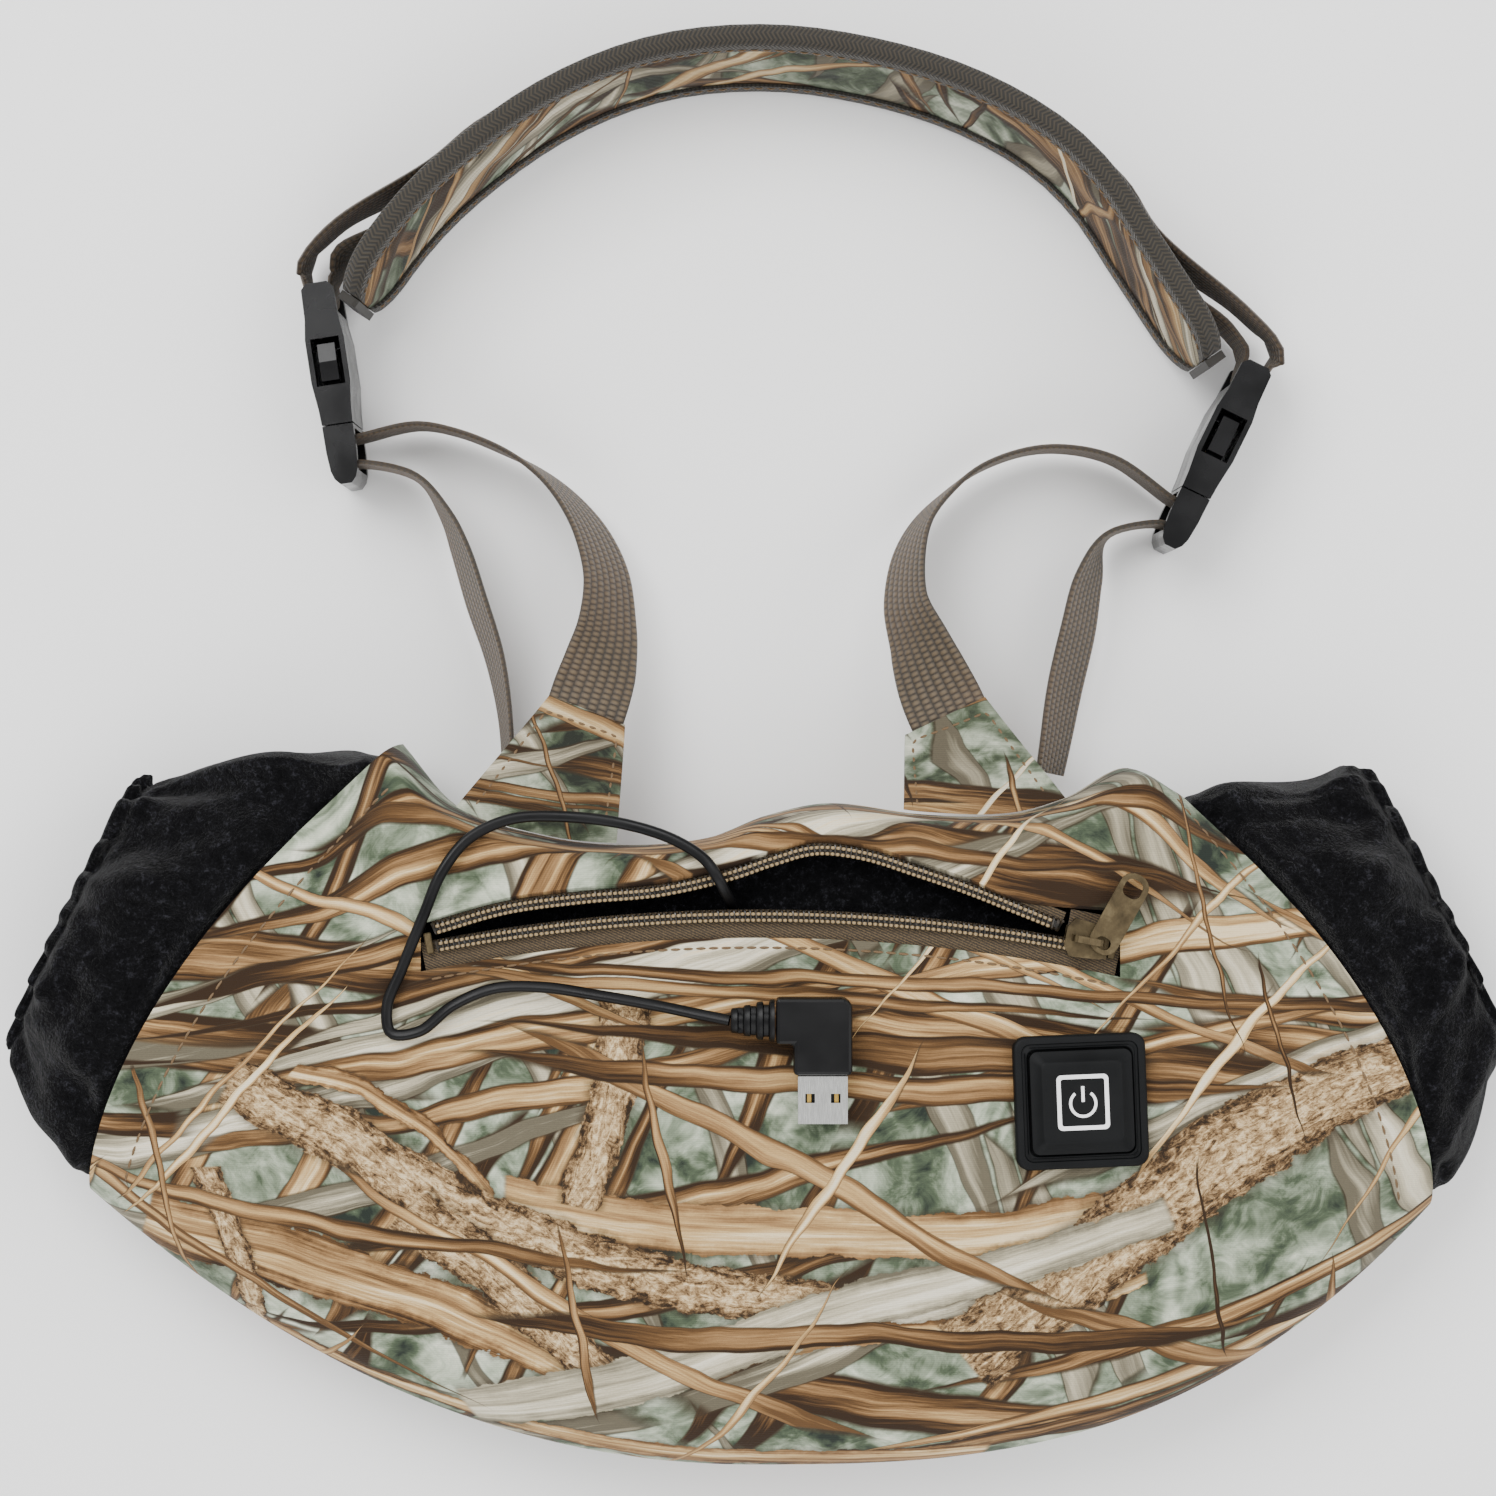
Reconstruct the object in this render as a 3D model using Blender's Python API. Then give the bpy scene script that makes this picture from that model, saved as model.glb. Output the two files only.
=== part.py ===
"""Heated hand warmer muff with a padded belt, two side-release buckles, a zipped battery pocket,
a silicone power switch and a USB lead. It lies on its back, front up, with the belt standing on
edge. +X runs along the hand cavity, +Y towards the belt, +Z up from the table."""

import math

import bmesh
import bpy
from mathutils import Matrix, Vector

MM = 0.001
CLEARANCE = 0.35  # between touching pieces

# ---- muff body, millimetres ----
MUFF_HEIGHT = 56.0  # thickness at the middle, lying down
MUFF_END_DROP = 12.0  # how much thinner it is at the hand openings
MUFF_ROUNDNESS = 2.5  # superellipse power of its cross-section
FLAT_BACK = 1.04  # the back is pressed flat where the section would pass this share
TOP_CENTRE, TOP_HALF = 9.0, 96.0  # top edge, along X
BOTTOM_CENTRE, BOTTOM_HALF = 3.0, 168.0  # bottom fold, along X
TOP_EDGE = [(-1, 1), (-0.86, -14.3), (-0.63, -22), (-0.42, -24.3), (-0.2, -22.5), (-0.05, -17),
            (0.12, -13.8), (0.36, -16.6), (0.58, -16.8), (0.74, -12.4), (0.89, -5), (1, -10)]
BOTTOM_Y = -179.0
BOTTOM_RISE = ((68.0, 2.1), (64.0, 2.8))  # rise and power, to the left and to the right
MOUTH_BOW = 14.5  # how far the slanted hand openings bow outwards
SHELL = 1.2
WADDING_GAP = 0.95  # the wadding lies loose under the cloth
WADDING_INNER, WADDING_CHANGE_FRONT, WADDING_CHANGE_BACK = 13.0, 4.2, 5.3
WADDING_END = 0.95
LINING_OUTER, LINING_CHANGE_FRONT, LINING_CHANGE_BACK = 13.6, 6.2, 5.3
LINING = 1.4
LINING_END = 0.985
HEATER = 0.8
HEATER_X, HEATER_Y = (-62.0, 66.0), (-148.0, -62.0)

# ---- battery pocket ----
POCKET_X, POCKET_Y = (-81.0, 92.0), -138.0
POCKET_NARROW = 32.0  # how much narrower it is below the mouth, clear of the switch's lead
POCKET_SEAM = 6.0  # from the muff's top edge to the pocket
POCKET_TOP, POCKET_BOTTOM, POCKET_WALL = 2.7, 10.0, 1.0

# ---- zip ----
ZIP_Z = 50.0  # upper face of the tapes
ZIP_CENTRE = (2.25, -461.0)  # both coils close on an arc about this point
ZIP_RADIUS = 420.0
ZIP_ENDS = (-80.0, 91.0)
TAPE_THICK, TAPE_WIDTH, TAPE_SHOWN = 0.6, 11.0, 5.4
COIL_WIDTH, COIL_HEIGHT = 3.4, 1.9
SLIDER_X = 82.4
SLIDER_LENGTH, SLIDER_WIDTH = 10.6, 9.4
UPPER_COIL = [(-77.0, -44.3), (-59.0, -39.2), (-40.0, -36.6), (-21.5, -34.9), (-4.0, -30.9),
              (6.0, -27.5), (16.5, -24.8), (28.5, -26.1), (41.0, -30.0), (53.5, -34.3),
              (66.0, -39.3), (75.6, -43.4)]
LIP_EDGE = 2.6  # from the upper coil's middle to the cloth's edge
PULL_LENGTH, PULL_WIDTH, PULL_THICK = 21.5, 7.4, 1.1
PULL_ANGLE = math.radians(61)

# ---- cuffs ----
CUFF_TUCK, CUFF_THICK = 1.75, 2.2
CUFF_RIM_CENTRE, CUFF_RIM_HALF, CUFF_RIM_HIGH = (172.5, -40.5, 20.5), 37.0, 17.0
CUFF_RIM_ANGLE = math.radians(64)  # of the rim from +X, on the left
CUFF_BULGE = 7.0
ELASTIC_WIDTH, ELASTIC_THICK = 8.0, 1.0

# ---- webbing, tabs and belt ----
WEBBING, WEBBING_THICK = 20.0, 1.3
TAB_THICK = 2.4
BELT_TALL, BELT_THICK = 40.0, 3.4
BELT_LEAN = 0.14  # outward per millimetre of height, about the belt's middle
BELT_LINE = [(-98.5, 112.5), (-88.5, 127.5), (-74.5, 142.5), (-49.0, 161.0), (-23.5, 171.3),
             (3.5, 174.2), (29.5, 171.1), (54.3, 163.6), (75.0, 152.1), (87.5, 140.0),
             (97.5, 125.0), (107.7, 109.5), (115.5, 97.5)]
BELT_END_RADIUS, BELT_END_TALL = 14.0, 12.0
BELT_WALL = 0.8
BINDING_DEEP, BINDING_WALL = 6.0, 0.7

# ---- buckles, for the webbing above ----
BUCKLE_WIDE = WEBBING + 7.0
RAIL = 3.0
FEMALE_LONG, MALE_LONG = 36.0, 15.0
WINDOW = (-22.0, -10.0)
CAVITY_DEEP, CAVITY_HALF, SIDE_WALL = 25.0, 2.7, 2.0
BUCKLES = {"left": ((-103.0, 81.2), (0.15, -0.9887)), "right": ((112.4, 64.0), (-0.44, -0.898))}

# ---- power switch ----
SWITCH_AT, SWITCH_TURN = (80.8, -86.0), math.radians(2.0)
SWITCH_SIZE, SWITCH_BASE_THICK, SWITCH_CORNER = 32.5, 2.8, 3.2
KEY_FOOT, KEY_TOP, KEY_TALL = 25.0, 19.5, 4.6
KEY_TRAVEL = 0.6
BOARD_SIZE, BOARD_THICK = 20.0, 1.0
TACT_SIZE, TACT_TALL = 5.0, 1.1
LEAD_DIAMETER = 2.4

# ---- USB lead ----
CABLE_DIAMETER = 2.8
USB_WIDE, USB_THICK, USB_LONG = 12.0, 4.5, 11.5
USB_WALL = 0.35
# The lead's route, from the grommet in the pocket to the plug's strain relief
CABLE_ROUTE = [(22, -72, 47.0), (16, -66, 45.8), (8, -59.5, 44.8), (1.5, -52, 44.8),
               (-2.4, -44.5, 45.0), (-3.8, -39.4, 46.4), (-4.4, -37.4, 49.6), (-5.4, -35.4, 53.2),
               (-7.2, -31.8, 55.4), (-10.5, -27.2, 55), (-18, -22.4, 54), (-30, -18.6, 52.4),
               (-45, -16.8, 51.2), (-58, -17.4, 51.6), (-68, -22, 53), (-74.5, -30, 54.2),
               (-79, -40.5, 54), (-84.5, -54, 53.6), (-88, -63, 53.8), (-87, -69.5, 54.2),
               (-80, -69, 54.8), (-72, -62.8, 55.6), (-62, -58.6, 55.8), (-50, -58.2, 56.2),
               (-36, -60.2, 57), (-22, -62.6, 57.8), (-12, -64.6, 59), (-4.5, -66, 60.4)]


def smooth(t):
    t = min(1.0, max(0.0, t))
    return t * t * (3 - 2 * t)


def mix(a, b, t):
    return a + (b - a) * t


def along_points(points, x):
    """The height of a smooth curve through points whose first values grow, at x."""
    last = len(points) - 2
    k = min(last, max(0, sum(1 for p in points[1:-1] if p[0] < x)))
    a, b = points[k], points[k + 1]
    before, after = points[max(0, k - 1)], points[min(len(points) - 1, k + 2)]
    run = b[0] - a[0]
    slope_a = (b[1] - before[1]) / (b[0] - before[0])
    slope_b = (after[1] - a[1]) / (after[0] - a[0])
    t = (x - a[0]) / run
    t2, t3 = t * t, t * t * t
    return ((2 * t3 - 3 * t2 + 1) * a[1] + (t3 - 2 * t2 + t) * run * slope_a
            + (3 * t2 - 2 * t3) * b[1] + (t3 - t2) * run * slope_b)


def curve_through(points, step):
    """Points about step apart on a smooth curve through the given ones."""
    knots = [Vector(p) for p in points]
    fine = []
    for k in range(len(knots) - 1):
        a, b = knots[k], knots[k + 1]
        before = knots[k - 1] if k else a * 2 - b
        after = knots[k + 2] if k + 2 < len(knots) else b * 2 - a
        chords = [max(1e-6, (q - p).length) ** 0.5 for p, q in ((before, a), (a, b), (b, after))]
        out = ((a - before) / chords[0] - (b - before) / (chords[0] + chords[1])
               + (b - a) / chords[1]) * chords[1]
        into = ((b - a) / chords[1] - (after - a) / (chords[1] + chords[2])
                + (after - b) / chords[2]) * chords[1]
        for n in range(16):
            t = n / 16
            fine.append(a * (2 * t**3 - 3 * t**2 + 1) + out * (t**3 - 2 * t**2 + t)
                        + b * (3 * t**2 - 2 * t**3) + into * (t**3 - t**2))
    fine.append(knots[-1])
    lengths = [0.0]
    for p, q in zip(fine, fine[1:]):
        lengths.append(lengths[-1] + (q - p).length)
    count = max(2, round(lengths[-1] / step))
    found, k = [], 0
    for n in range(count + 1):
        want = lengths[-1] * n / count
        while k < len(fine) - 2 and lengths[k + 1] < want:
            k += 1
        share = (want - lengths[k]) / max(1e-9, lengths[k + 1] - lengths[k])
        found.append(fine[k].lerp(fine[k + 1], min(1.0, share)))
    return found


# ------------------------------------------------------------------ materials


def material(name, colour, roughness, metallic=0.0):
    made = bpy.data.materials.new(name)
    made.use_nodes = True
    shader = made.node_tree.nodes["Principled BSDF"]
    shader.inputs["Base Color"].default_value = (*colour, 1.0)
    shader.inputs["Roughness"].default_value = roughness
    shader.inputs["Metallic"].default_value = metallic
    return made


# ------------------------------------------------------------------ mesh tools


def add_object(name, points, faces, look, origin=(0, 0, 0), parent=None, smooth_angle=38):
    """One closed mesh, given in millimetres, as an object whose own origin is at origin."""
    used = sorted({k for face in faces for k in face})
    number = {old: new for new, old in enumerate(used)}
    base = Vector(origin)
    mesh = bpy.data.meshes.new(name)
    mesh.from_pydata([(Vector(points[k]) - base) * MM for k in used], [],
                     [[number[k] for k in face] for face in faces])
    shell = bmesh.new()
    shell.from_mesh(mesh)
    bmesh.ops.recalc_face_normals(shell, faces=shell.faces)
    shell.to_mesh(mesh)
    shell.free()
    mesh.materials.append(look)
    mesh.shade_smooth()
    mesh.set_sharp_from_angle(angle=math.radians(smooth_angle))
    obj = bpy.data.objects.new(name, mesh)
    bpy.context.scene.collection.objects.link(obj)
    obj.location = base * MM
    if parent:
        obj.parent = parent
    return obj


def add_sheet(name, look, outer, inner, keep=None, ring=False, **places):
    """The solid between two matching grids of points; keep says which cells are cloth, and ring
    joins the last row to the first."""
    rows, columns = len(outer), len(outer[0])
    layer = rows * columns

    def corner(i, j, side):
        return side * layer + (i % rows) * columns + j

    cells = {(i, j) for i in range(rows if ring else rows - 1) for j in range(columns - 1)
             if keep is None or keep(i, j)}
    faces = []
    for i, j in sorted(cells):
        square = [(i, j), (i, j + 1), (i + 1, j + 1), (i + 1, j)]
        faces.append([corner(*c, 0) for c in square])
        faces.append([corner(*c, 1) for c in reversed(square)])
        above, below = ((i - 1) % rows if ring else i - 1), ((i + 1) % rows if ring else i + 1)
        beside = [(above, j), (i, j + 1), (below, j), (i, j - 1)]
        for k, cell in enumerate(beside):
            if cell not in cells:
                a, b = square[k], square[(k + 1) % 4]
                faces.append([corner(*b, 0), corner(*a, 0), corner(*a, 1), corner(*b, 1)])
    points = [p for grid in (outer, inner) for row in grid for p in row]
    return add_object(name, points, faces, look, **places)


def add_prism(name, look, outline, low, high, frame=None, **places):
    """An outline of (x, y) points, raised from low to high, in the given frame."""
    frame = frame or Matrix.Identity(4)
    count = len(outline)
    points = [frame @ Vector((x, y, z)) for z in (low, high) for x, y in outline]
    faces = [list(range(count))[::-1], list(range(count, 2 * count))]
    for k in range(count):
        n = (k + 1) % count
        faces.append([k, n, count + n, count + k])
    return add_object(name, points, faces, look, **places)


def rounded_rectangle(half_x, half_y, radius, steps=4):
    points = []
    for k, (sx, sy) in enumerate(((1, 1), (-1, 1), (-1, -1), (1, -1))):
        for n in range(steps + 1):
            angle = math.pi / 2 * (k + n / steps)
            points.append((sx * (half_x - radius) + radius * math.cos(angle),
                           sy * (half_y - radius) + radius * math.sin(angle)))
    return points


def rectangle(x, y):
    return [(x[0], y[0]), (x[1], y[0]), (x[1], y[1]), (x[0], y[1])]


def add_ribbon(name, look, stations, width, thick, **places):
    """A flat strip; each station is its middle, the way across and the way out of its face."""
    outer = [[c + n * thick / 2 - a * width / 2, c + n * thick / 2 + a * width / 2]
             for c, a, n in stations]
    inner = [[c - n * thick / 2 - a * width / 2, c - n * thick / 2 + a * width / 2]
             for c, a, n in stations]
    return add_sheet(name, look, outer, inner, **places)


def add_tube(name, look, points, diameter, sides=2):
    data = bpy.data.curves.new(name, "CURVE")
    data.dimensions = "3D"
    data.bevel_depth = diameter / 2 * MM
    data.bevel_resolution = sides
    data.render_resolution_u = 0
    data.use_fill_caps = True
    line = data.splines.new("POLY")
    line.points.add(len(points) - 1)
    for spot, p in zip(line.points, points):
        spot.co = (*(Vector(p) * MM), 1.0)
    data.materials.append(look)
    obj = bpy.data.objects.new(name, data)
    bpy.context.scene.collection.objects.link(obj)
    return obj


def combine(obj, tool, operation):
    """Cuts tool out of obj, or joins it on."""
    change = obj.modifiers.new(f"{operation} {tool.name}", "BOOLEAN")
    change.object = tool
    change.operation = operation
    change.solver = "EXACT"
    tool.hide_render = True
    tool.display_type = "WIRE"
    return obj


def chamfer(obj, width, segments=1, angle=40):
    edge = obj.modifiers.new("edge", "BEVEL")
    edge.width = width * MM
    edge.segments = segments
    edge.limit_method = "ANGLE"
    edge.angle_limit = math.radians(angle)
    return obj


# ------------------------------------------------------------------ the muff's surface


def muff_height(s):
    return MUFF_HEIGHT - MUFF_END_DROP * abs(s) ** 3


def top_y(s):
    return along_points(TOP_EDGE, s)


def bottom_y(s):
    rise, power = BOTTOM_RISE[0] if s < 0 else BOTTOM_RISE[1]
    return BOTTOM_Y + rise * abs(s) ** power


def plan(s, w):
    """Where the point at share w from the top edge to the bottom fold lies in plan."""
    x = mix(TOP_CENTRE + TOP_HALF * s, BOTTOM_CENTRE + BOTTOM_HALF * s, w)
    return x + MOUTH_BOW * s**3 * 4 * w * (1 - w), mix(top_y(s), bottom_y(s), w)


def find(x, y):
    """The s and w of a point in plan."""
    s, w = 0.0, 0.5
    for _ in range(60):
        w += ((mix(top_y(s), bottom_y(s), w)) - y) / (top_y(s) - bottom_y(s))
        w = min(1.0, max(0.0, w))
        s += (x - plan(s, w)[0]) / mix(TOP_HALF, BOTTOM_HALF, w) * 0.7
        s = min(1.0, max(-1.0, s))
    return s, w


def rise_at(w):
    """Height of the superellipse at share w, from 0 on the seam or fold to 1."""
    return max(0.0, 1 - abs(1 - 2 * w) ** MUFF_ROUNDNESS) ** (1 / MUFF_ROUNDNESS)


def zip_flatness(x, y, q):
    """1 where the front is held flat by the zip, fading to 0 around it."""
    dx = max(0.0, abs(x - (ZIP_ENDS[0] + ZIP_ENDS[1]) / 2) - (ZIP_ENDS[1] - ZIP_ENDS[0]) / 2 - 6)
    dy = max(0.0, -58.0 - y)
    return (1 - smooth(math.hypot(dx, dy) / 22)) * smooth(q / 0.45)


def skin(s, w, side, inset):
    """A point of the muff, inset millimetres under its outer face; side is 1 on the front and
    -1 on the back."""
    length = math.hypot(plan(s, 0)[0] - plan(s, 1)[0], top_y(s) - bottom_y(s))
    q = rise_at(w)
    x, y = plan(s, 0.5 + (w - 0.5) * (1 - 2 * inset / length))
    half = muff_height(s) / 2
    if side < 0:
        return Vector((x, y, max(half - (half - inset) * FLAT_BACK * q, inset)))
    flat = zip_flatness(x, y, q)
    return Vector((x, y, mix(half + (half - inset) * q, ZIP_Z + 1.55 - inset, flat)))


def skin_at(x, y, inset):
    """The front's point over a place in plan."""
    s, w = find(x, y)
    for _ in range(3):
        p = skin(s, w, 1, inset)
        s, w = find(2 * x - p.x, 2 * y - p.y) if inset else (s, w)
    return skin(s, w, 1, inset)


SEAM_W = 1.2e-6  # the first row beside the top seam, a hair from its middle
TOP_ROWS = (0.0, 0.03, 0.12, 0.32, 0.62, 1.0)
FRONT_ROWS = (0.0, 0.1, 0.22, 0.36, 0.5, 0.64, 0.76, 0.86, 0.93, 0.98, 0.9999)
WRAP_ROWS = (0.99, 0.965, 0.94)  # the front cloth goes round the bottom fold
LAYER_ROWS = (SEAM_W, 0.004, 0.015, 0.05, 0.12, 0.22, 0.34, 0.46, 0.58, 0.7, 0.8, 0.88, 0.935,
              0.97, 0.99, 0.9999)
BACK_ROWS = LAYER_ROWS[:-3]


def slot_edges(x):
    """Upper and lower edge of the zip's cut-out in the front cloth, at x."""
    upper = along_points([UPPER_COIL[0], *UPPER_COIL[1:-1], (ZIP_ENDS[1], -42.0)], x) + LIP_EDGE
    reach = ZIP_RADIUS - TAPE_SHOWN
    lower = ZIP_CENTRE[1] + math.sqrt(reach**2 - (x - ZIP_CENTRE[0]) ** 2)
    return upper, lower


def spread(low, high, count):
    return [mix(low, high, k / (count - 1)) for k in range(count)]


def front_columns():
    """For each column of the front cloth: its s and w at the cut-out's upper and lower edge, and
    whether the cloth is cut there."""
    columns = []
    slot = [(x, *slot_edges(x)) for x in spread(*ZIP_ENDS, 17)]
    for x, upper, lower in slot:
        columns.append((find(x, upper), find(x, lower), True))
    for side, (up, low, _), count in ((-1, columns[0], 5), (1, columns[-1], 4)):
        extra = [((mix(up[0], side, t), up[1]), (mix(low[0], side, t), low[1]), False)
                 for t in [k / count for k in range(1, count + 1)]]
        columns = extra[::-1] + columns if side < 0 else columns + extra
    return columns


def make_shell(looks):
    columns = front_columns()
    cut = [c[2] for c in columns]

    def grid(inset):
        rows = []
        for t in TOP_ROWS:
            rows.append([skin(up[0], max(SEAM_W, up[1] * t), 1, inset) for up, low, _ in columns])
        for t in FRONT_ROWS:
            rows.append([skin(low[0], mix(low[1], 1, t), 1, inset) for up, low, _ in columns])
        for w in WRAP_ROWS:
            rows.append([skin(low[0], w, -1, inset) for up, low, _ in columns])
        return rows

    hole_row = len(TOP_ROWS) - 1
    front = add_sheet("shell_front", looks["camouflage"], grid(0), grid(SHELL),
                      keep=lambda i, j: i != hole_row or not (cut[j] and cut[j + 1]))
    across = [-1.0, *spread(-WADDING_END, WADDING_END, WADDING_COLUMNS), 1.0]
    back = [[[skin(s, w, -1, inset) for s in across] for w in BACK_ROWS] for inset in (0, SHELL)]
    add_sheet("shell_back", looks["camouflage"], *back)
    return front


def wadding_inset(q, change):
    return WADDING_INNER + change * q


def pocket_right(y):
    """The pocket's right edge in plan."""
    return POCKET_X[1] - POCKET_NARROW * smooth((-56.0 - y) / 14)


def pocket_depth(x, y):
    """How far the front wadding is pushed down under the pocket."""
    dx = max(0.0, POCKET_X[0] - x, x - pocket_right(y))
    dy = max(0.0, POCKET_Y - y)
    return (1 - smooth((math.hypot(dx, dy) - 12.0) / 12)) * (POCKET_BOTTOM + 2.3 - SHELL
                                                            - WADDING_GAP)


WADDING_COLUMNS = 15


def make_inside(looks):
    across = spread(-WADDING_END, WADDING_END, WADDING_COLUMNS)
    top, inside = [], []
    for w in LAYER_ROWS:
        q = rise_at(w)
        row = []
        for s in across:
            place = skin(s, w, 1, SHELL)
            steep = mix(q, 1, zip_flatness(place.x, place.y, q))
            sunk = pocket_depth(place.x, place.y) * smooth(q / 0.3) / max(0.6, steep)
            row.append(skin(s, w, 1, SHELL + WADDING_GAP + sunk))
        top.append(row)
        inside.append([skin(s, w, 1, wadding_inset(q, WADDING_CHANGE_FRONT)) for s in across])
    front = add_sheet("wadding_front", looks["wadding"], top, inside)
    outer = [[skin(s, w, -1, SHELL + WADDING_GAP) for s in across] for w in LAYER_ROWS]
    inner = [[skin(s, w, -1, wadding_inset(rise_at(w), -WADDING_CHANGE_BACK)) for s in across]
             for w in LAYER_ROWS]
    add_sheet("wadding_back", looks["wadding"], outer, inner)
    make_lining(looks)
    make_heater(looks)
    return front


def make_lining(looks):
    across = spread(-WADDING_END, WADDING_END, WADDING_COLUMNS)
    across = [-LINING_END, *across, LINING_END]
    loop = [(w, 1) for w in LAYER_ROWS] + [(w, -1) for w in LAYER_ROWS[::-1]]

    def grid(extra):
        rows = []
        for w, side in loop:
            change = LINING_CHANGE_FRONT if side > 0 else -LINING_CHANGE_BACK
            inset = LINING_OUTER + change * rise_at(w) + extra
            rows.append([skin(s, w, side, inset) for s in across])
        return rows

    add_sheet("lining", looks["fleece"], grid(0), grid(LINING), ring=True)


def make_heater(looks):
    rows = []
    for extra in (0.0, HEATER):
        rows.append([])
        for y in spread(*HEATER_Y[::-1], 7):
            line = []
            for x in spread(*HEATER_X, 9):
                s, w = find(x, y)
                line.append(skin(s, w, 1, wadding_inset(rise_at(w), WADDING_CHANGE_FRONT)
                                 + 2 * CLEARANCE + extra))
            rows[-1].append(line)
    add_sheet("heater_pad", looks["heater"], *rows)


def pocket_upper(x):
    """The pocket's upper edge in plan: it follows the muff's top seam."""
    return min(-22.0, top_y((x - TOP_CENTRE) / TOP_HALF) - POCKET_SEAM)


def make_pocket(looks):
    """A fleece bag behind the zip, open along the mouth."""

    def block(name, margin, upper, lower):
        across = spread(0, 1, 13)
        grids = []
        for inset in (upper, lower):
            rows = []
            for t in (0.0, 0.08, 0.18, 0.28, 0.38, 0.5, 0.65, 0.83, 1.0):
                rows.append([])
                for u in across:
                    x = mix(POCKET_X[0] + margin, POCKET_X[1] - margin, u)
                    y = mix(pocket_upper(x) - margin, POCKET_Y + margin, t)
                    x = mix(POCKET_X[0] + margin, pocket_right(y) - margin, u)
                    rows[-1].append(skin_at(x, y, 0) - Vector((0, 0, inset)))
            grids.append(rows)
        return add_sheet(name, looks["fleece"], *grids)

    bag = block("pocket_bag", 0, POCKET_TOP, POCKET_BOTTOM)
    room = block("pocket_room", POCKET_WALL, POCKET_TOP + POCKET_WALL, POCKET_BOTTOM - POCKET_WALL)
    combine(bag, room, "DIFFERENCE")
    across = spread(ZIP_ENDS[0] + 1, ZIP_ENDS[1] - 1, 12)
    mouth = [(x, slot_edges(x)[1] + 1.0) for x in across]
    mouth += [(x, min(slot_edges(x)[0] + 1, pocket_upper(x) - 1.6)) for x in across[::-1]]
    combine(bag, add_prism("pocket_mouth", looks["fleece"], mouth, 45.4, ZIP_Z + 4), "DIFFERENCE")
    return bag


# ------------------------------------------------------------------ cuffs


def rim_frame(side):
    """Middle of the cuff's rim and the way along it, from its upper to its lower end."""
    middle = Vector((side * CUFF_RIM_CENTRE[0] + 2, CUFF_RIM_CENTRE[1], CUFF_RIM_CENTRE[2]))
    return middle, Vector((side * math.cos(CUFF_RIM_ANGLE), -math.sin(CUFF_RIM_ANGLE), 0))


CUFF_SHARES = (0.0, 0.01, 0.05, 0.13, 0.25, 0.38, 0.5, 0.62, 0.75, 0.87, 0.95, 0.99)


def cuff_point(side, w, face, along, inset):
    """A point of the cuff: along runs from -0.15, inside the mouth, over 0 at it, to 1 at the rim."""
    s = side * (1 + min(0.0, along) * 0.2)
    base = skin(s, w, face, SHELL + CUFF_TUCK + inset)
    if along <= 0:
        return base
    middle, way = rim_frame(side)
    turn = math.acos(max(-1.0, min(1.0, 1 - 2 * w)))
    rim = (middle + way * (-(CUFF_RIM_HALF - inset) * math.cos(turn))
           + Vector((0, 0, face * (CUFF_RIM_HIGH - inset) * math.sin(turn))))
    swell = CUFF_BULGE * math.sin(math.pi * min(1.0, along / 0.94)) * smooth(along / 0.1)
    out = Vector((0, 0, face * math.sin(turn) * 0.6)) - way * math.cos(turn) * 0.55
    spot = base.lerp(rim, smooth(along) * 0.6 + along * 0.4) + out * swell
    return Vector((spot.x, spot.y, max(spot.z, inset + 0.3)))


def make_cuff(side, looks):
    name = "left" if side < 0 else "right"
    shares = CUFF_SHARES[1:]
    loop = [(w, 1) for w in shares] + [(1 - w, -1) for w in shares]
    steps = (-0.17, 0.0, 0.03, 0.1, 0.26, 0.42, 0.58, 0.74, 0.87, 0.95, 1.0)

    def grid(inset):
        return [[cuff_point(side, w, face, along, inset) for along in steps] for w, face in loop]

    add_sheet(f"cuff_{name}", looks["fleece"], grid(0), grid(CUFF_THICK), ring=True)
    middle, way = rim_frame(side)
    outward = Vector((0, 0, 1)).cross(way) * side
    rings = []
    for extra in (0.0, ELASTIC_THICK):
        sunk = CUFF_THICK + CLEARANCE + 0.6 + extra
        rings.append([])
        for k in range(24):
            turn = math.tau * k / 24
            spot = (middle - way * ((CUFF_RIM_HALF - sunk) * math.cos(turn))
                    + Vector((0, 0, (CUFF_RIM_HIGH - sunk) * math.sin(turn))))
            rings[-1].append([spot - outward * (1 + ELASTIC_WIDTH * t) for t in (0, 1)])
    add_sheet(f"cuff_elastic_{name}", looks["elastic"], *rings, ring=True)


# ------------------------------------------------------------------ tabs and straps

# Each tab's corners: both ends of its sewn edge, then both ends of its strap edge
TABS = {"left": ((-72.0, -14.2), (-32.4, -23.6), (-49.7, 13.3), (-30.8, 5.8)),
        "right": ((38.4, -15.8), (78.2, -12.0), (39.4, 3.3), (59.4, 12.8))}
TAB_BASE_Z, TAB_END_Z = 44.0, 27.5


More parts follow.
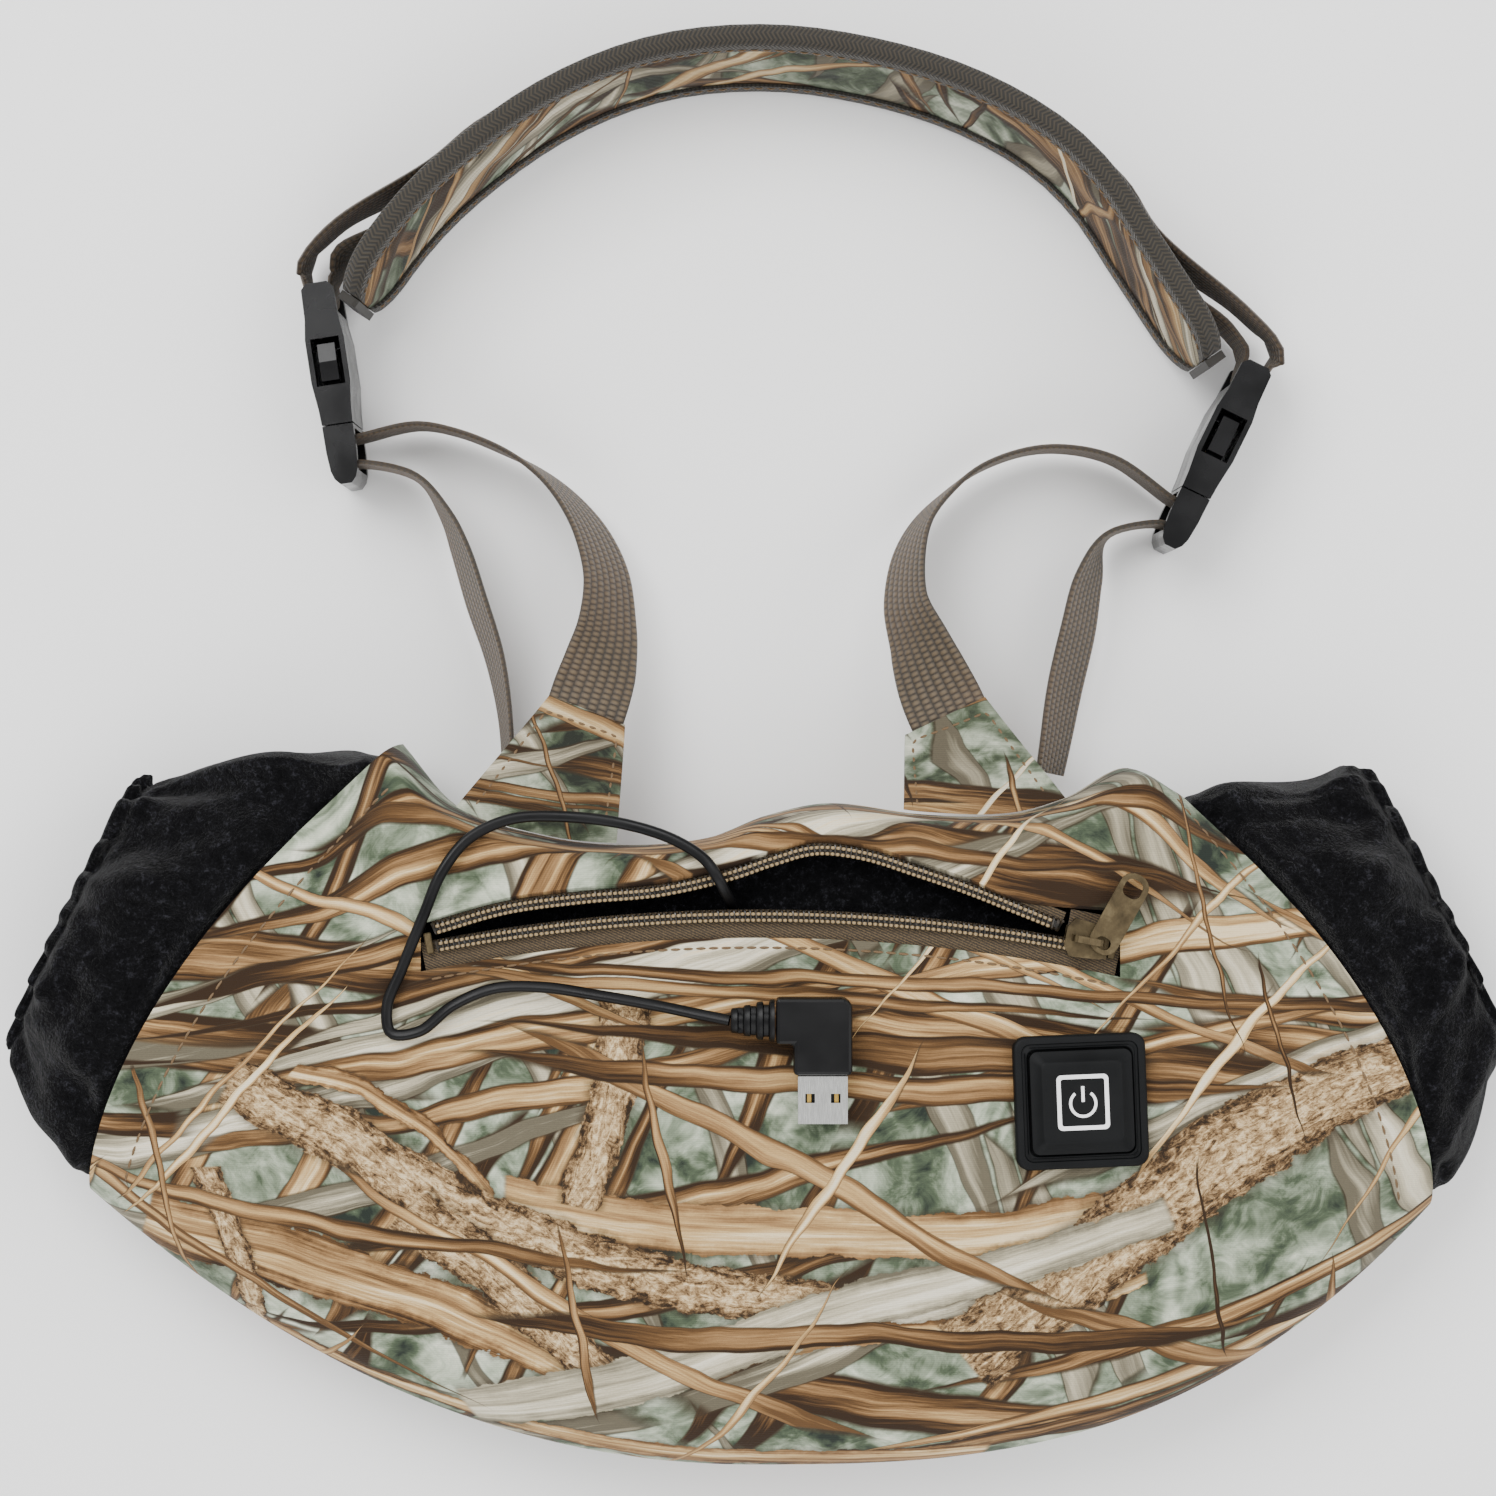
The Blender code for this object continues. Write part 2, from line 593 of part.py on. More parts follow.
def make_tab(name, looks):
    left, right, far_left, far_right = TABS[name]
    grids = [[], []]
    for k, t in enumerate((0.0, 0.15, 0.35, 0.6, 0.8, 1.0)):
        rows = [[], []]
        for u in spread(0, 1, 6):
            base_x = mix(left[0], right[0], u)
            base_y = top_y((base_x - TOP_CENTRE) / TOP_HALF) + CLEARANCE + 0.5
            x = mix(base_x, mix(far_left[0], far_right[0], u), t)
            y = mix(base_y, mix(far_left[1], far_right[1], u), t)
            z = mix(TAB_BASE_Z, TAB_END_Z, smooth(0.15 + 0.85 * t))
            for side, row in zip((1, -1), rows):
                row.append((x, y, z + side * TAB_THICK / 2))
        for grid, row in zip(grids, rows):
            grid.append(row)
    return add_sheet(f"tab_{name}", looks["camouflage"], *grids)


# Each strap's middle line as (x, y, z, turn): turn is 0 lying flat and 90 standing on edge. The
# first list runs from the tab to the buckle, the second from the buckle to behind the top seam.
STRAPS = {
    "left": ([(-39.6, 12.6, 26.6, 4), (-37.0, 21.0, 25.2, 24), (-35.2, 31.2, 23.0, 45),
              (-35.6, 43.6, 20.4, 58), (-39.5, 54.5, 17.0, 68), (-46.2, 64.0, 14.6, 78),
              (-53.4, 70.4, 13.6, 85), (-62.0, 75.4, 13.5, 90), (-73.5, 80.0, 13.5, 90),
              (-84.0, 81.8, 13.5, 90)],
             [(-84.5, 69.0, 13.5, 88), (-77.0, 59.5, 13.4, 80), (-73.0, 50.0, 13.2, 74),
              (-69.0, 37.0, 12.8, 72), (-64.5, 23.0, 12.6, 74), (-61.8, 8.0, 12.5, 78),
              (-61.0, -6.0, 12.5, 80), (-60.8, -14.5, 12.5, 80)]),
    "right": ([(49.6, 9.9, 26.6, -4), (46.4, 17.0, 25.4, -22), (43.0, 26.0, 23.4, -42),
               (39.6, 37.4, 20.6, -60), (40.6, 49.0, 17.4, -70), (44.0, 57.4, 15.0, -80),
               (49.4, 63.6, 13.8, -86), (58.6, 70.9, 13.5, -90), (71.0, 75.4, 13.5, -90),
               (82.0, 75.8, 13.5, -90), (93.5, 72.8, 13.5, -90)],
              [(92.6, 54.8, 13.5, -88), (86.6, 42.8, 13.2, -66), (84.0, 30.0, 12.8, -60),
               (80.6, 15.0, 12.4, -60), (78.0, 0.0, 12.4, -64), (76.8, -6.5, 12.4, -66)])}


def buckle_place(name, p, r, z):
    """A point of a buckle: p along it from the seam between its halves, r across it towards +X
    on the left and towards -X on the right, z up."""
    (x, y), (dx, dy) = BUCKLES[name]
    inward = 1 if name == "left" else -1
    return Vector((x + dx * p - dy * r * inward, y + dy * p + dx * r * inward, z))


def stations_of(line):
    """The strip's stations along points that carry their turn as a fourth value."""
    found = []
    for k, here in enumerate(line):
        before, after = line[max(0, k - 1)], line[min(len(line) - 1, k + 1)]
        way = Vector(after[:3]) - Vector(before[:3])
        way.normalize()
        level = Vector((0, 0, 1)).cross(way).normalized()
        turn = math.radians(here[3])
        across = level * math.cos(turn) + Vector((0, 0, 1)) * math.sin(turn)
        across = (across - way * across.dot(way)).normalized()
        found.append((Vector(here[:3]), across, across.cross(way)))
    return found


BAR_HALF = (1.7, 1.3)  # the bars' half sizes along and across the buckle
SLOT_LONG = 3.6
MALE_BAR = 1.2 + SLOT_LONG + BAR_HALF[0]  # middle of the male half's bar
FEMALE_BAR = -FEMALE_LONG + 0.6 + BAR_HALF[0]  # middle of the female half's bar
BAR_ROOM = 0.75  # from a bar to the webbing's middle


def around_bar(name, turn):
    """The webbing's middle line round the male half's bar, entering from the inner side."""
    far = BAR_HALF[0] + BAR_ROOM + 0.75
    depth = BAR_HALF[1] + BAR_ROOM + 0.45
    points = [(-far, 3.6), (-far, 0.6), (-far + 0.5, -1.4), (-far + 1.7, -depth),
              (0, -depth - 0.15), (far - 1.7, -depth), (far - 0.5, -1.4), (far, 0.6), (far, 3.6)]
    return [(*buckle_place(name, MALE_BAR + p, r, BUCKLE_WIDE / 2), turn) for p, r in points]


def make_strap(name, looks):
    to_buckle, from_buckle = STRAPS[name]
    turn = 90 if name == "left" else -90
    loop = around_bar(name, turn)
    first = curve_through([Vector(p) for p in to_buckle + loop[:2]], 6.5)
    middle = [Vector(p) for p in loop[2:7]]
    last = curve_through([Vector(p) for p in loop[7:] + from_buckle], 6.5)
    line = first + middle + last
    add_ribbon(f"strap_{name}", looks["webbing"], stations_of(line), WEBBING, WEBBING_THICK)


# ------------------------------------------------------------------ belt


def belt_frames():
    """Points along the belt's middle, with the way along and the way out at each."""
    line = curve_through([(x, y, 0) for x, y in BELT_LINE], 8)
    ends = [0.5, 2.0, 4.5, 8.0]
    total = sum((b - a).length for a, b in zip(line, line[1:]))
    places = sorted(ends + [total - e for e in ends]
                    + spread(BELT_END_RADIUS, total - BELT_END_RADIUS, 36) + [0.0, total])
    fine = curve_through([(x, y, 0) for x, y in BELT_LINE], 1)
    frames = []
    for place in places:
        k = min(len(fine) - 2, int(place / total * (len(fine) - 1)))
        share = place / total * (len(fine) - 1) - k
        way = (fine[min(len(fine) - 1, k + 2)] - fine[max(0, k - 1)]).normalized()
        out = Vector((0, 0, 1)).cross(way)
        frames.append((fine[k].lerp(fine[k + 1], share), out, min(place, total - place)))
    return frames


def belt_half(end_distance):
    """Half of the belt's height, less towards its rounded ends."""
    if end_distance >= BELT_END_RADIUS:
        return BELT_TALL / 2
    round_off = BELT_END_RADIUS**2 - (BELT_END_RADIUS - end_distance) ** 2
    low = BELT_END_TALL / 2
    return low + (BELT_TALL / 2 - low) * math.sqrt(max(0.0, round_off)) / BELT_END_RADIUS


def on_belt(place, out, r, z):
    """A point r millimetres out of the belt's middle, at height z."""
    return place + out * (r + BELT_LEAN * (z - BELT_TALL / 2)) + Vector((0, 0, z))


def make_belt(looks):
    frames = belt_frames()
    inner = frames[1:-1]
    binding_out = BELT_THICK / 2 + CLEARANCE + BINDING_WALL

    def loop(place, half_thick, low, high, out):
        return [on_belt(place, out, r, z)
                for r, z in ((-half_thick, low), (half_thick, low), (half_thick, high),
                             (-half_thick, high))]

    def tube_grid(name, look, thick, inset, wall=None):
        """A box section along the belt, solid, or hollow with open ends."""
        grids = []
        for grow in (0, wall or 0):
            rows = []
            for place, out, end in inner:
                half = belt_half(end) - inset - grow
                middle = BELT_TALL / 2
                rows.append(loop(place, thick / 2 - grow, middle - half, middle + half, out))
            grids.append([[row[k] for row in rows] for k in range(4)])
        if wall:
            return add_sheet(name, look, *grids, ring=True)
        points = [p for row in zip(*grids[0]) for p in row]
        count = len(inner)
        faces = [[0, 1, 2, 3], [4 * count - 1, 4 * count - 2, 4 * count - 3, 4 * count - 4]]
        for k in range(count - 1):
            for c in range(4):
                n = (c + 1) % 4
                faces.append([4 * k + c, 4 * k + n, 4 * k + 4 + n, 4 * k + 4 + c])
        return add_object(name, points, faces, look)

    sleeve_inset = BINDING_WALL + CLEARANCE
    tube_grid("belt_cover", looks["camouflage"], BELT_THICK, sleeve_inset, BELT_WALL)
    tube_grid("belt_core", looks["foam"], BELT_THICK - 2 * (BELT_WALL + CLEARANCE),
              sleeve_inset + BELT_WALL + CLEARANCE)
    for name, side in (("top", 1), ("bottom", -1)):
        grids = [[], []]
        for grow in (0, BINDING_WALL):
            edge = binding_out - grow
            lines = [[], [], [], []]
            for place, out, end in inner:
                half = belt_half(end)
                middle = BELT_TALL / 2
                tip = middle + side * (half - grow)
                lip = middle + side * (half - BINDING_DEEP)
                for line, (r, z) in zip(lines, ((-edge, lip), (-edge, tip), (edge, tip),
                                                (edge, lip))):
                    line.append(on_belt(place, out, r, z))
            grids[1 if grow else 0] = lines
        add_sheet(f"belt_binding_{name}", looks["binding"], *grids)
    make_belt_ends(frames, binding_out, looks)
    make_belt_strap(frames, binding_out, looks)


def make_belt_ends(frames, binding_out, looks):
    for name, (place, out, _), (beside, _, _) in (("left", frames[0], frames[1]),
                                                  ("right", frames[-1], frames[-2])):
        way = (place - beside).normalized()
        half = belt_half(0.5) - 0.2
        spin = Matrix.Translation(place + Vector((0, 0, BELT_TALL / 2)))
        spin = spin @ Matrix([[way.x, out.x, out.x * BELT_LEAN, 0],
                              [way.y, out.y, out.y * BELT_LEAN, 0], [0, 0, 1, 0], [0, 0, 0, 1]])
        outline = rounded_rectangle(binding_out - 0.2, half, 0.9, 2)
        add_object(f"belt_end_{name}",
                   [spin @ Vector((x, y, z)) for x in (CLEARANCE - 0.5, 1.9)
                    for y, z in outline],
                   prism_faces(len(outline)), looks["binding"])


def prism_faces(count):
    faces = [list(range(count))[::-1], list(range(count, 2 * count))]
    for k in range(count):
        n = (k + 1) % count
        faces.append([k, n, count + n, count + k])
    return faces


# The belt webbing leaves the belt's outer face, goes round each buckle's end bar from outside
# and comes back to the belt. Each end as the points between the bar and the belt's face.
BELT_OUTER_RUN = {"left": [(-112.4, 121.5), (-110.6, 125.2), (-102.8, 132.6)],
                  "right": [(133.8, 98.6), (132.6, 102.6), (124.6, 110.6)]}
BELT_INNER_RUN = {"left": [(-103.6, 121.8), (-102.0, 125.6)],
                  "right": [(125.4, 101.0), (120.6, 106.4)]}
BELT_FACE = {"left": (19.0, 38.0), "right": (17.0, 34.0)}  # where each run meets the belt


def make_belt_strap(frames, binding_out, looks):
    """One webbing along the belt's outer face, with a loop round both buckles' end bars."""
    lift = binding_out + CLEARANCE + WEBBING_THICK / 2
    middle = BELT_TALL / 2
    walked = [0.0]
    for (a, _, _), (b, _, _) in zip(frames, frames[1:]):
        walked.append(walked[-1] + (b - a).length)

    tilt = math.degrees(math.atan(BELT_LEAN))

    def on_face(name, distance, extra=0.0, back=False):
        want = distance if name == "left" else walked[-1] - distance
        k = max(n for n in range(len(walked) - 1) if walked[n] <= want)
        share = (want - walked[k]) / (walked[k + 1] - walked[k])
        out = frames[k][1].lerp(frames[k + 1][1], share)
        spot = frames[k][0].lerp(frames[k + 1][0], share) + out * (lift + extra)
        return Vector((spot.x, spot.y, middle, 90 + tilt if back else 90 - tilt))

    def loop(name):
        far = BAR_HALF[0] + BAR_ROOM + 0.35
        deep = BAR_HALF[1] + BAR_ROOM + 0.55
        points = [(-3.4, -deep - 0.7), (-0.6, -deep - 0.3), (1.7, -deep + 0.1), (far, -1.3),
                  (far + 0.2, 0.0), (far, 1.3), (1.7, deep - 0.1), (-0.6, deep + 0.3),
                  (-3.4, deep + 0.7)]
        return [Vector((*buckle_place(name, FEMALE_BAR + p, r, BUCKLE_WIDE / 2), 90))
                for p, r in points]

    def run(table, name):
        low = BUCKLE_WIDE / 2
        rises = (low, mix(low, middle, 0.35), mix(low, middle, 0.8))
        return [Vector((x, y, rises[k], 90)) for k, (x, y) in enumerate(table[name])]

    second = WEBBING_THICK + CLEARANCE
    near, off = BELT_FACE["left"]
    left = loop("left")[::-1]
    start = [on_face("left", near + 12, back=True), on_face("left", near, back=True),
             *run(BELT_INNER_RUN, "left")[::-1], left[0]]
    near_right, off_right = BELT_FACE["right"]
    length = walked[-1]
    clear = spread(off + 14, length - off_right - 14, 12)
    over = [left[-1], *run(BELT_OUTER_RUN, "left"), on_face("left", off, second)]
    over += [on_face("left", d, second * (k in (0, 11))) for k, d in enumerate(clear)]
    right = loop("right")
    over += [on_face("right", off_right, second), *run(BELT_OUTER_RUN, "right")[::-1], right[0]]
    finish = [right[-1], *run(BELT_INNER_RUN, "right"), on_face("right", near_right, back=True),
              on_face("right", near_right + 11, back=True)]
    line = (curve_through(start, 5) + left[1:-1] + curve_through(over, 7) + right[1:-1]
            + curve_through(finish, 5))
    add_ribbon("belt_strap", looks["webbing"], stations_of(line), WEBBING, WEBBING_THICK)


# ------------------------------------------------------------------ buckles


def buckle_frame(name):
    """Local X along the buckle towards the male half's tip, local Z up."""
    (x, y), (dx, dy) = BUCKLES[name]
    return (Matrix.Translation((x, y, 0))
            @ Matrix([[dx, -dy, 0, 0], [dy, dx, 0, 0], [0, 0, 1, 0], [0, 0, 0, 1]]))


def both_sides(profile):
    """A closed outline from one side's (p, r) points."""
    return profile + [(p, -r) for p, r in reversed(profile)]


FEMALE_SIDE = [(-FEMALE_LONG, 2.6), (-FEMALE_LONG + 1.4, 4.0), (-27.0, 4.2), (WINDOW[0], 4.9),
               (WINDOW[1] - 1, 4.9), (-4.0, 4.1), (-0.2, 3.9)]
MALE_SIDE = [(0.15, 3.9), (7.0, 3.8), (11.5, 3.4), (13.6, 2.7), (MALE_LONG, 1.4)]


def make_buckle(name, looks):
    frame = buckle_frame(name)
    look = looks["acetal"]
    high = BUCKLE_WIDE
    female = add_prism(f"buckle_female_{name}", look, both_sides(FEMALE_SIDE), 0, high, frame)
    cuts = [
        add_prism(f"cavity_{name}", look, rectangle((-CAVITY_DEEP, 2), (-CAVITY_HALF, CAVITY_HALF)),
                  SIDE_WALL, high - SIDE_WALL, frame),
        add_prism(f"window_{name}", look, rectangle(WINDOW, (-3.6, 3.6)), -1, high + 1, frame),
        add_prism(f"slot_{name}", look,
                  rectangle((FEMALE_BAR + BAR_HALF[0], FEMALE_BAR + BAR_HALF[0] + SLOT_LONG),
                            (-6, 6)), RAIL, high - RAIL, frame)]
    for side in (-1, 1):
        cuts.append(add_prism(f"bar_side_{name}_{side}", look,
                              rectangle((-FEMALE_LONG - 1, FEMALE_BAR + BAR_HALF[0] + 0.4),
                                        sorted((side * BAR_HALF[1], side * 6))),
                              RAIL, high - RAIL, frame))
    for tool in cuts:
        combine(female, tool, "DIFFERENCE")
    make_male(name, frame, looks)
    make_latches(name, frame, looks)


def make_male(name, frame, looks):
    look, high = looks["acetal"], BUCKLE_WIDE
    at = frame.translation
    male = add_prism(f"buckle_male_{name}", look, both_sides(MALE_SIDE), 0, high, frame, origin=at)
    tongue = add_prism(f"tongue_{name}", look, rectangle((-17, 1), (-1.3, 1.3)), high / 2 - 2.2,
                       high / 2 + 2.2, frame)
    combine(male, tongue, "UNION")
    first = MALE_BAR - BAR_HALF[0]
    second = MALE_BAR + BAR_HALF[0]
    for k, (a, b) in enumerate(((first - SLOT_LONG, first), (second, second + SLOT_LONG))):
        tool = add_prism(f"male_slot_{name}_{k}", look, rectangle((a, b), (-6, 6)), RAIL,
                         high - RAIL, frame)
        combine(male, tool, "DIFFERENCE")
    for side in (-1, 1):
        tool = add_prism(f"male_bar_side_{name}_{side}", look,
                         rectangle((first - 0.4, second + 0.4),
                                   sorted((side * BAR_HALF[1], side * 6))),
                         RAIL, high - RAIL, frame)
        combine(male, tool, "DIFFERENCE")


LATCH_ROOT, LATCH_HINGE_RISE = -1.2, 8.0
# Half outline of the upper latch arm, along the buckle and up from its middle
LATCH = [(-0.5, 6.6), (-0.5, 9.4), (-8.0, 9.6), (-10.8, 11.0), (-11.2, 13.0), (-16.0, 13.4),
         (-20.6, 12.2), (-21.2, 9.0), (-19.0, 7.6), (-12.0, 7.4)]


def make_latches(name, frame, looks):
    middle = BUCKLE_WIDE / 2
    for side, word in ((1, "upper"), (-1, "lower")):
        points = []
        for r in (-2.2, 2.2):
            points += [frame @ Vector((p, r, middle + side * rise)) for p, rise in LATCH]
        hinge = frame @ Vector((LATCH_ROOT, 0, middle + side * LATCH_HINGE_RISE))
        add_object(f"latch_{word}_{name}", points, prism_faces(len(LATCH)), looks["acetal"],
                   origin=hinge)


# ------------------------------------------------------------------ zip


def on_arc(radius, angle):
    """A point at a radius from the zip's centre; angle 0 looks along +Y, growing towards +X."""
    return (ZIP_CENTRE[0] + radius * math.sin(angle), ZIP_CENTRE[1] + radius * math.cos(angle))


def zip_angle(x):
    return math.asin((x - ZIP_CENTRE[0]) / ZIP_RADIUS)


def slider_edge(side):
    """Angle of the slider's end on one side."""
    return zip_angle(SLIDER_X) + side * (SLIDER_LENGTH / 2 + CLEARANCE) / ZIP_RADIUS


def flat_band(name, look, edges, low, high):
    """A flat strip between pairs of plan points."""
    grids = [[[(*a, z), (*b, z)] for a, b in edges] for z in (high, low)]
    return add_sheet(name, look, *grids)


def make_zip(looks):
    left, right = zip_angle(ZIP_ENDS[0] + 1.2), zip_angle(ZIP_ENDS[1] - 1.2)
    angles = spread(left, right, 22)
    near, far = ZIP_RADIUS - TAPE_WIDTH, ZIP_RADIUS + COIL_WIDTH / 2 - 0.3
    flat_band("zip_tape_lower", looks["tape"],
              [(on_arc(near, a), on_arc(far, a)) for a in angles], ZIP_Z - TAPE_THICK, ZIP_Z)
    bottom, top = ZIP_Z + CLEARANCE, ZIP_Z + CLEARANCE + COIL_HEIGHT
    half = COIL_WIDTH / 2
    inside = spread(left + 2.4 / ZIP_RADIUS, right - 2.4 / ZIP_RADIUS, 34)
    coil_sheet("zip_coil_lower", [(on_arc(ZIP_RADIUS - half, a), on_arc(ZIP_RADIUS + half, a))
                                  for a in inside], bottom, top, looks)
    make_upper_zip(bottom, top, looks)
    for name, a in (("left", left + 1.0 / ZIP_RADIUS), ("right", right - 1.0 / ZIP_RADIUS)):
        place = Matrix.Translation((*on_arc(ZIP_RADIUS + 1, a), 0)) @ Matrix.Rotation(-a, 4, "Z")
        chamfer(add_prism(f"zip_stop_{name}", looks["brass"],
                          rectangle((-0.9, 0.9), (-2.6, 2.6)), bottom, top, place), 0.25)
    make_slider(looks)


def coil_sheet(name, edges, low, high, looks):
    """A coil's outer shape: a low rounded bar between pairs of plan points."""
    outline = ((0, 0.5), (0.16, 1), (0.84, 1), (1, 0.5), (0.84, 0), (0.16, 0))
    count = len(outline)
    points, faces = [], []
    for a, b in edges:
        for across, up in outline:
            points.append((mix(a[0], b[0], across), mix(a[1], b[1], across), mix(low, high, up)))
    for k in range(len(edges) - 1):
        for c in range(count):
            n = (c + 1) % count
            faces.append([count * k + c, count * k + n, count * k + count + n,
                          count * k + count + c])
    faces += [list(range(count))[::-1], list(range(len(points) - count, len(points)))]
    return add_object(name, points, faces, looks["coil"])


def make_upper_zip(bottom, top, looks):
    """The upper coil and tape as the open mouth holds them, from the left stop to the slider."""
    stop = slider_edge(-1) - 1.0 / ZIP_RADIUS
    end = on_arc(ZIP_RADIUS + COIL_WIDTH + 0.6, stop)
    line = curve_through([(*p, 0) for p in UPPER_COIL[:-1]] + [(*end, 0)], 4.4)
    sides = []
    for k, here in enumerate(line):
        way = (line[min(len(line) - 1, k + 1)] - line[max(0, k - 1)]).normalized()
        sides.append((here, Vector((-way.y, way.x, 0))))
    half = COIL_WIDTH / 2
    coil_sheet("zip_coil_upper", [((p - n * half).xy, (p + n * half).xy) for p, n in sides],
               bottom, top, looks)
    flat_band("zip_tape_upper", looks["tape"],
              [((p - n * (half - 0.3)).xy, (p + n * (half + 1.9)).xy) for p, n in sides],
              ZIP_Z - TAPE_THICK, ZIP_Z)


def make_slider(looks):
    """The slider straddles both coils' paths; it turns about the arc's centre as it travels."""
    angle = zip_angle(SLIDER_X)
    reach = ZIP_RADIUS + COIL_WIDTH / 2 + 0.2
    place = Matrix.Translation((*on_arc(reach, angle), 0)) @ Matrix.Rotation(-angle, 4, "Z")
    pivot = (*ZIP_CENTRE, ZIP_Z)
    floor = ZIP_Z + CLEARANCE + 0.2
    roof = ZIP_Z + CLEARANCE + COIL_HEIGHT + CLEARANCE
    half_long, half_wide = SLIDER_LENGTH / 2, SLIDER_WIDTH / 2
    leaf = [(-half_long, 2.4), (-half_long + 1.6, half_wide), (half_long - 2, half_wide - 0.5),
            (half_long, 3.6)]
    outline = leaf + [(x, -y) for x, y in reversed(leaf)]
    slider = add_prism("zip_slider", looks["brass"], outline, floor, roof + 1.2, place, origin=pivot)
    channel = add_prism("slider_channel", looks["brass"],
                        rectangle((-half_long - 1, half_long + 1),
                                  (-COIL_WIDTH - 0.55, COIL_WIDTH + 0.55)), floor - 1, roof, place)
    combine(slider, channel, "DIFFERENCE")
    under = ZIP_Z - TAPE_THICK - CLEARANCE
    post = add_prism("slider_post", looks["brass"], rectangle((-half_long, -half_long + 2.6),
                                                             (0.05, 1.15)),
                     under - 0.6, roof + 0.6, place)
    combine(slider, post, "UNION")
    plate = add_prism("slider_plate", looks["brass"], outline, under - 1.1, under, place)
    combine(slider, plate, "UNION")
    make_crown(place, roof + 1.2, pivot, looks)
    make_pull(place, roof + 1.2, looks)


CROWN_HIGH, CROWN_THICK, CROWN_WIDE = 3.4, 0.8, 1.6
CROWN_HALF, CROWN_SHIFT = 4.1, 0.2


def make_crown(place, base, pivot, looks):
    """The bridge on the slider that the pull tab hangs from."""
    bottom = base + CLEARANCE
    grids = []
    for grow in (0.0, CROWN_THICK):
        rows = []
        for turn in spread(0, math.pi, 11):
            across = math.copysign(abs(math.cos(turn)) ** 0.75, math.cos(turn))
            x = CROWN_SHIFT - (CROWN_HALF - grow) * across
            z = bottom + (CROWN_HIGH + CROWN_THICK - grow) * math.sin(turn) ** 0.75
            rows.append([place @ Vector((x, y, z)) for y in (-CROWN_WIDE / 2, CROWN_WIDE / 2)])
        grids.append(rows)
    add_sheet("zip_crown", looks["brass"], *grids, origin=pivot)


def pull_hinge(place, base):
    """Where the pull tab's eye rests on the crown's foot."""
    leg = place @ Vector((CROWN_SHIFT + CROWN_HALF - CROWN_THICK / 2 - 0.2, 0, base + 1.5))
    return leg - Vector((math.cos(PULL_ANGLE), math.sin(PULL_ANGLE), 0)) * 1.3


def make_pull(place, base, looks):
    """A slotted tab, lying on the cloth; its eye goes round the crown."""
    hinge = pull_hinge(place, base)
    along = Vector((math.cos(PULL_ANGLE), math.sin(PULL_ANGLE), 0))
    across = Vector((-along.y, along.x, 0))
    frame = Matrix([[along.x, across.x, 0, hinge.x], [along.y, across.y, 0, hinge.y],
                    [0, 0, 1, hinge.z], [0, 0, 0, 1]])
    half = PULL_WIDTH / 2
    outline = rounded_rectangle(PULL_LENGTH / 2, half, half - 0.4, 5)
    outline = [(x + PULL_LENGTH / 2 - 1.3, y) for x, y in outline]
    low, high = -PULL_THICK / 2, PULL_THICK / 2
    tab = add_prism("zip_pull", looks["brass"], outline, low, high, frame, origin=hinge)
    eye = rounded_rectangle(1.5, 1.9, 1.4, 3)
    grip = [(x + PULL_LENGTH - 5.1, y) for x, y in rounded_rectangle(2.3, half - 1.4, 1.7, 4)]
    for name, hole in (("pull_eye", [(x + 1.35, y) for x, y in eye]), ("pull_grip", grip)):
        combine(tab, add_prism(name, looks["brass"], hole, low - 1, high + 1, frame), "DIFFERENCE")


# ------------------------------------------------------------------ power switch


def switch_frame():
    """On the front cloth, with local Z out of it."""
    x, y = SWITCH_AT
    here = skin_at(x, y, 0)
    step = 6.0
    along = skin_at(x + step, y, 0) - skin_at(x - step, y, 0)
    up = skin_at(x, y + step, 0) - skin_at(x, y - step, 0)
    out = along.cross(up).normalized()
    right = (along - out * along.dot(out)).normalized()
    right = Matrix.Rotation(SWITCH_TURN, 3, out) @ right
    front = out.cross(right)
    rows = [[right[k], front[k], out[k], here[k]] for k in range(3)]
    return Matrix(rows + [[0, 0, 0, 1]])


def make_switch(looks):
    frame = switch_frame()
    half, base_top = SWITCH_SIZE / 2, CLEARANCE + 0.25 + SWITCH_BASE_THICK
    bottom = CLEARANCE + 0.25
    base = add_prism("switch_base", looks["silicone"],
                     rounded_rectangle(half, half, SWITCH_CORNER, 5), bottom, base_top, frame)
    well = KEY_FOOT / 2 + CLEARANCE
    combine(base, add_prism("key_well", looks["silicone"], rounded_rectangle(well, well, 2, 3),
                            bottom + 0.9, base_top + 1, frame), "DIFFERENCE")
    combine(base, add_prism("lead_hole", looks["silicone"],
                            rounded_rectangle(LEAD_DIAMETER, LEAD_DIAMETER, 0.6, 2),
                            bottom - 1, bottom + 1.5, frame), "DIFFERENCE")
    chamfer(base, 0.4)
    floor = bottom + 0.9 + CLEARANCE
    board_half = BOARD_SIZE / 2
    add_prism("switch_board", looks["board"], rounded_rectangle(board_half, board_half, 1, 2),
              floor, floor + BOARD_THICK, frame)
    tact_foot = floor + BOARD_THICK + CLEARANCE
    tact_half = TACT_SIZE / 2
    add_prism("tact_switch", looks["steel"], rectangle((-tact_half, tact_half),
                                                      (-tact_half, tact_half)),
              tact_foot, tact_foot + TACT_TALL, frame)
    make_key(frame, tact_foot, looks)
    return frame, bottom


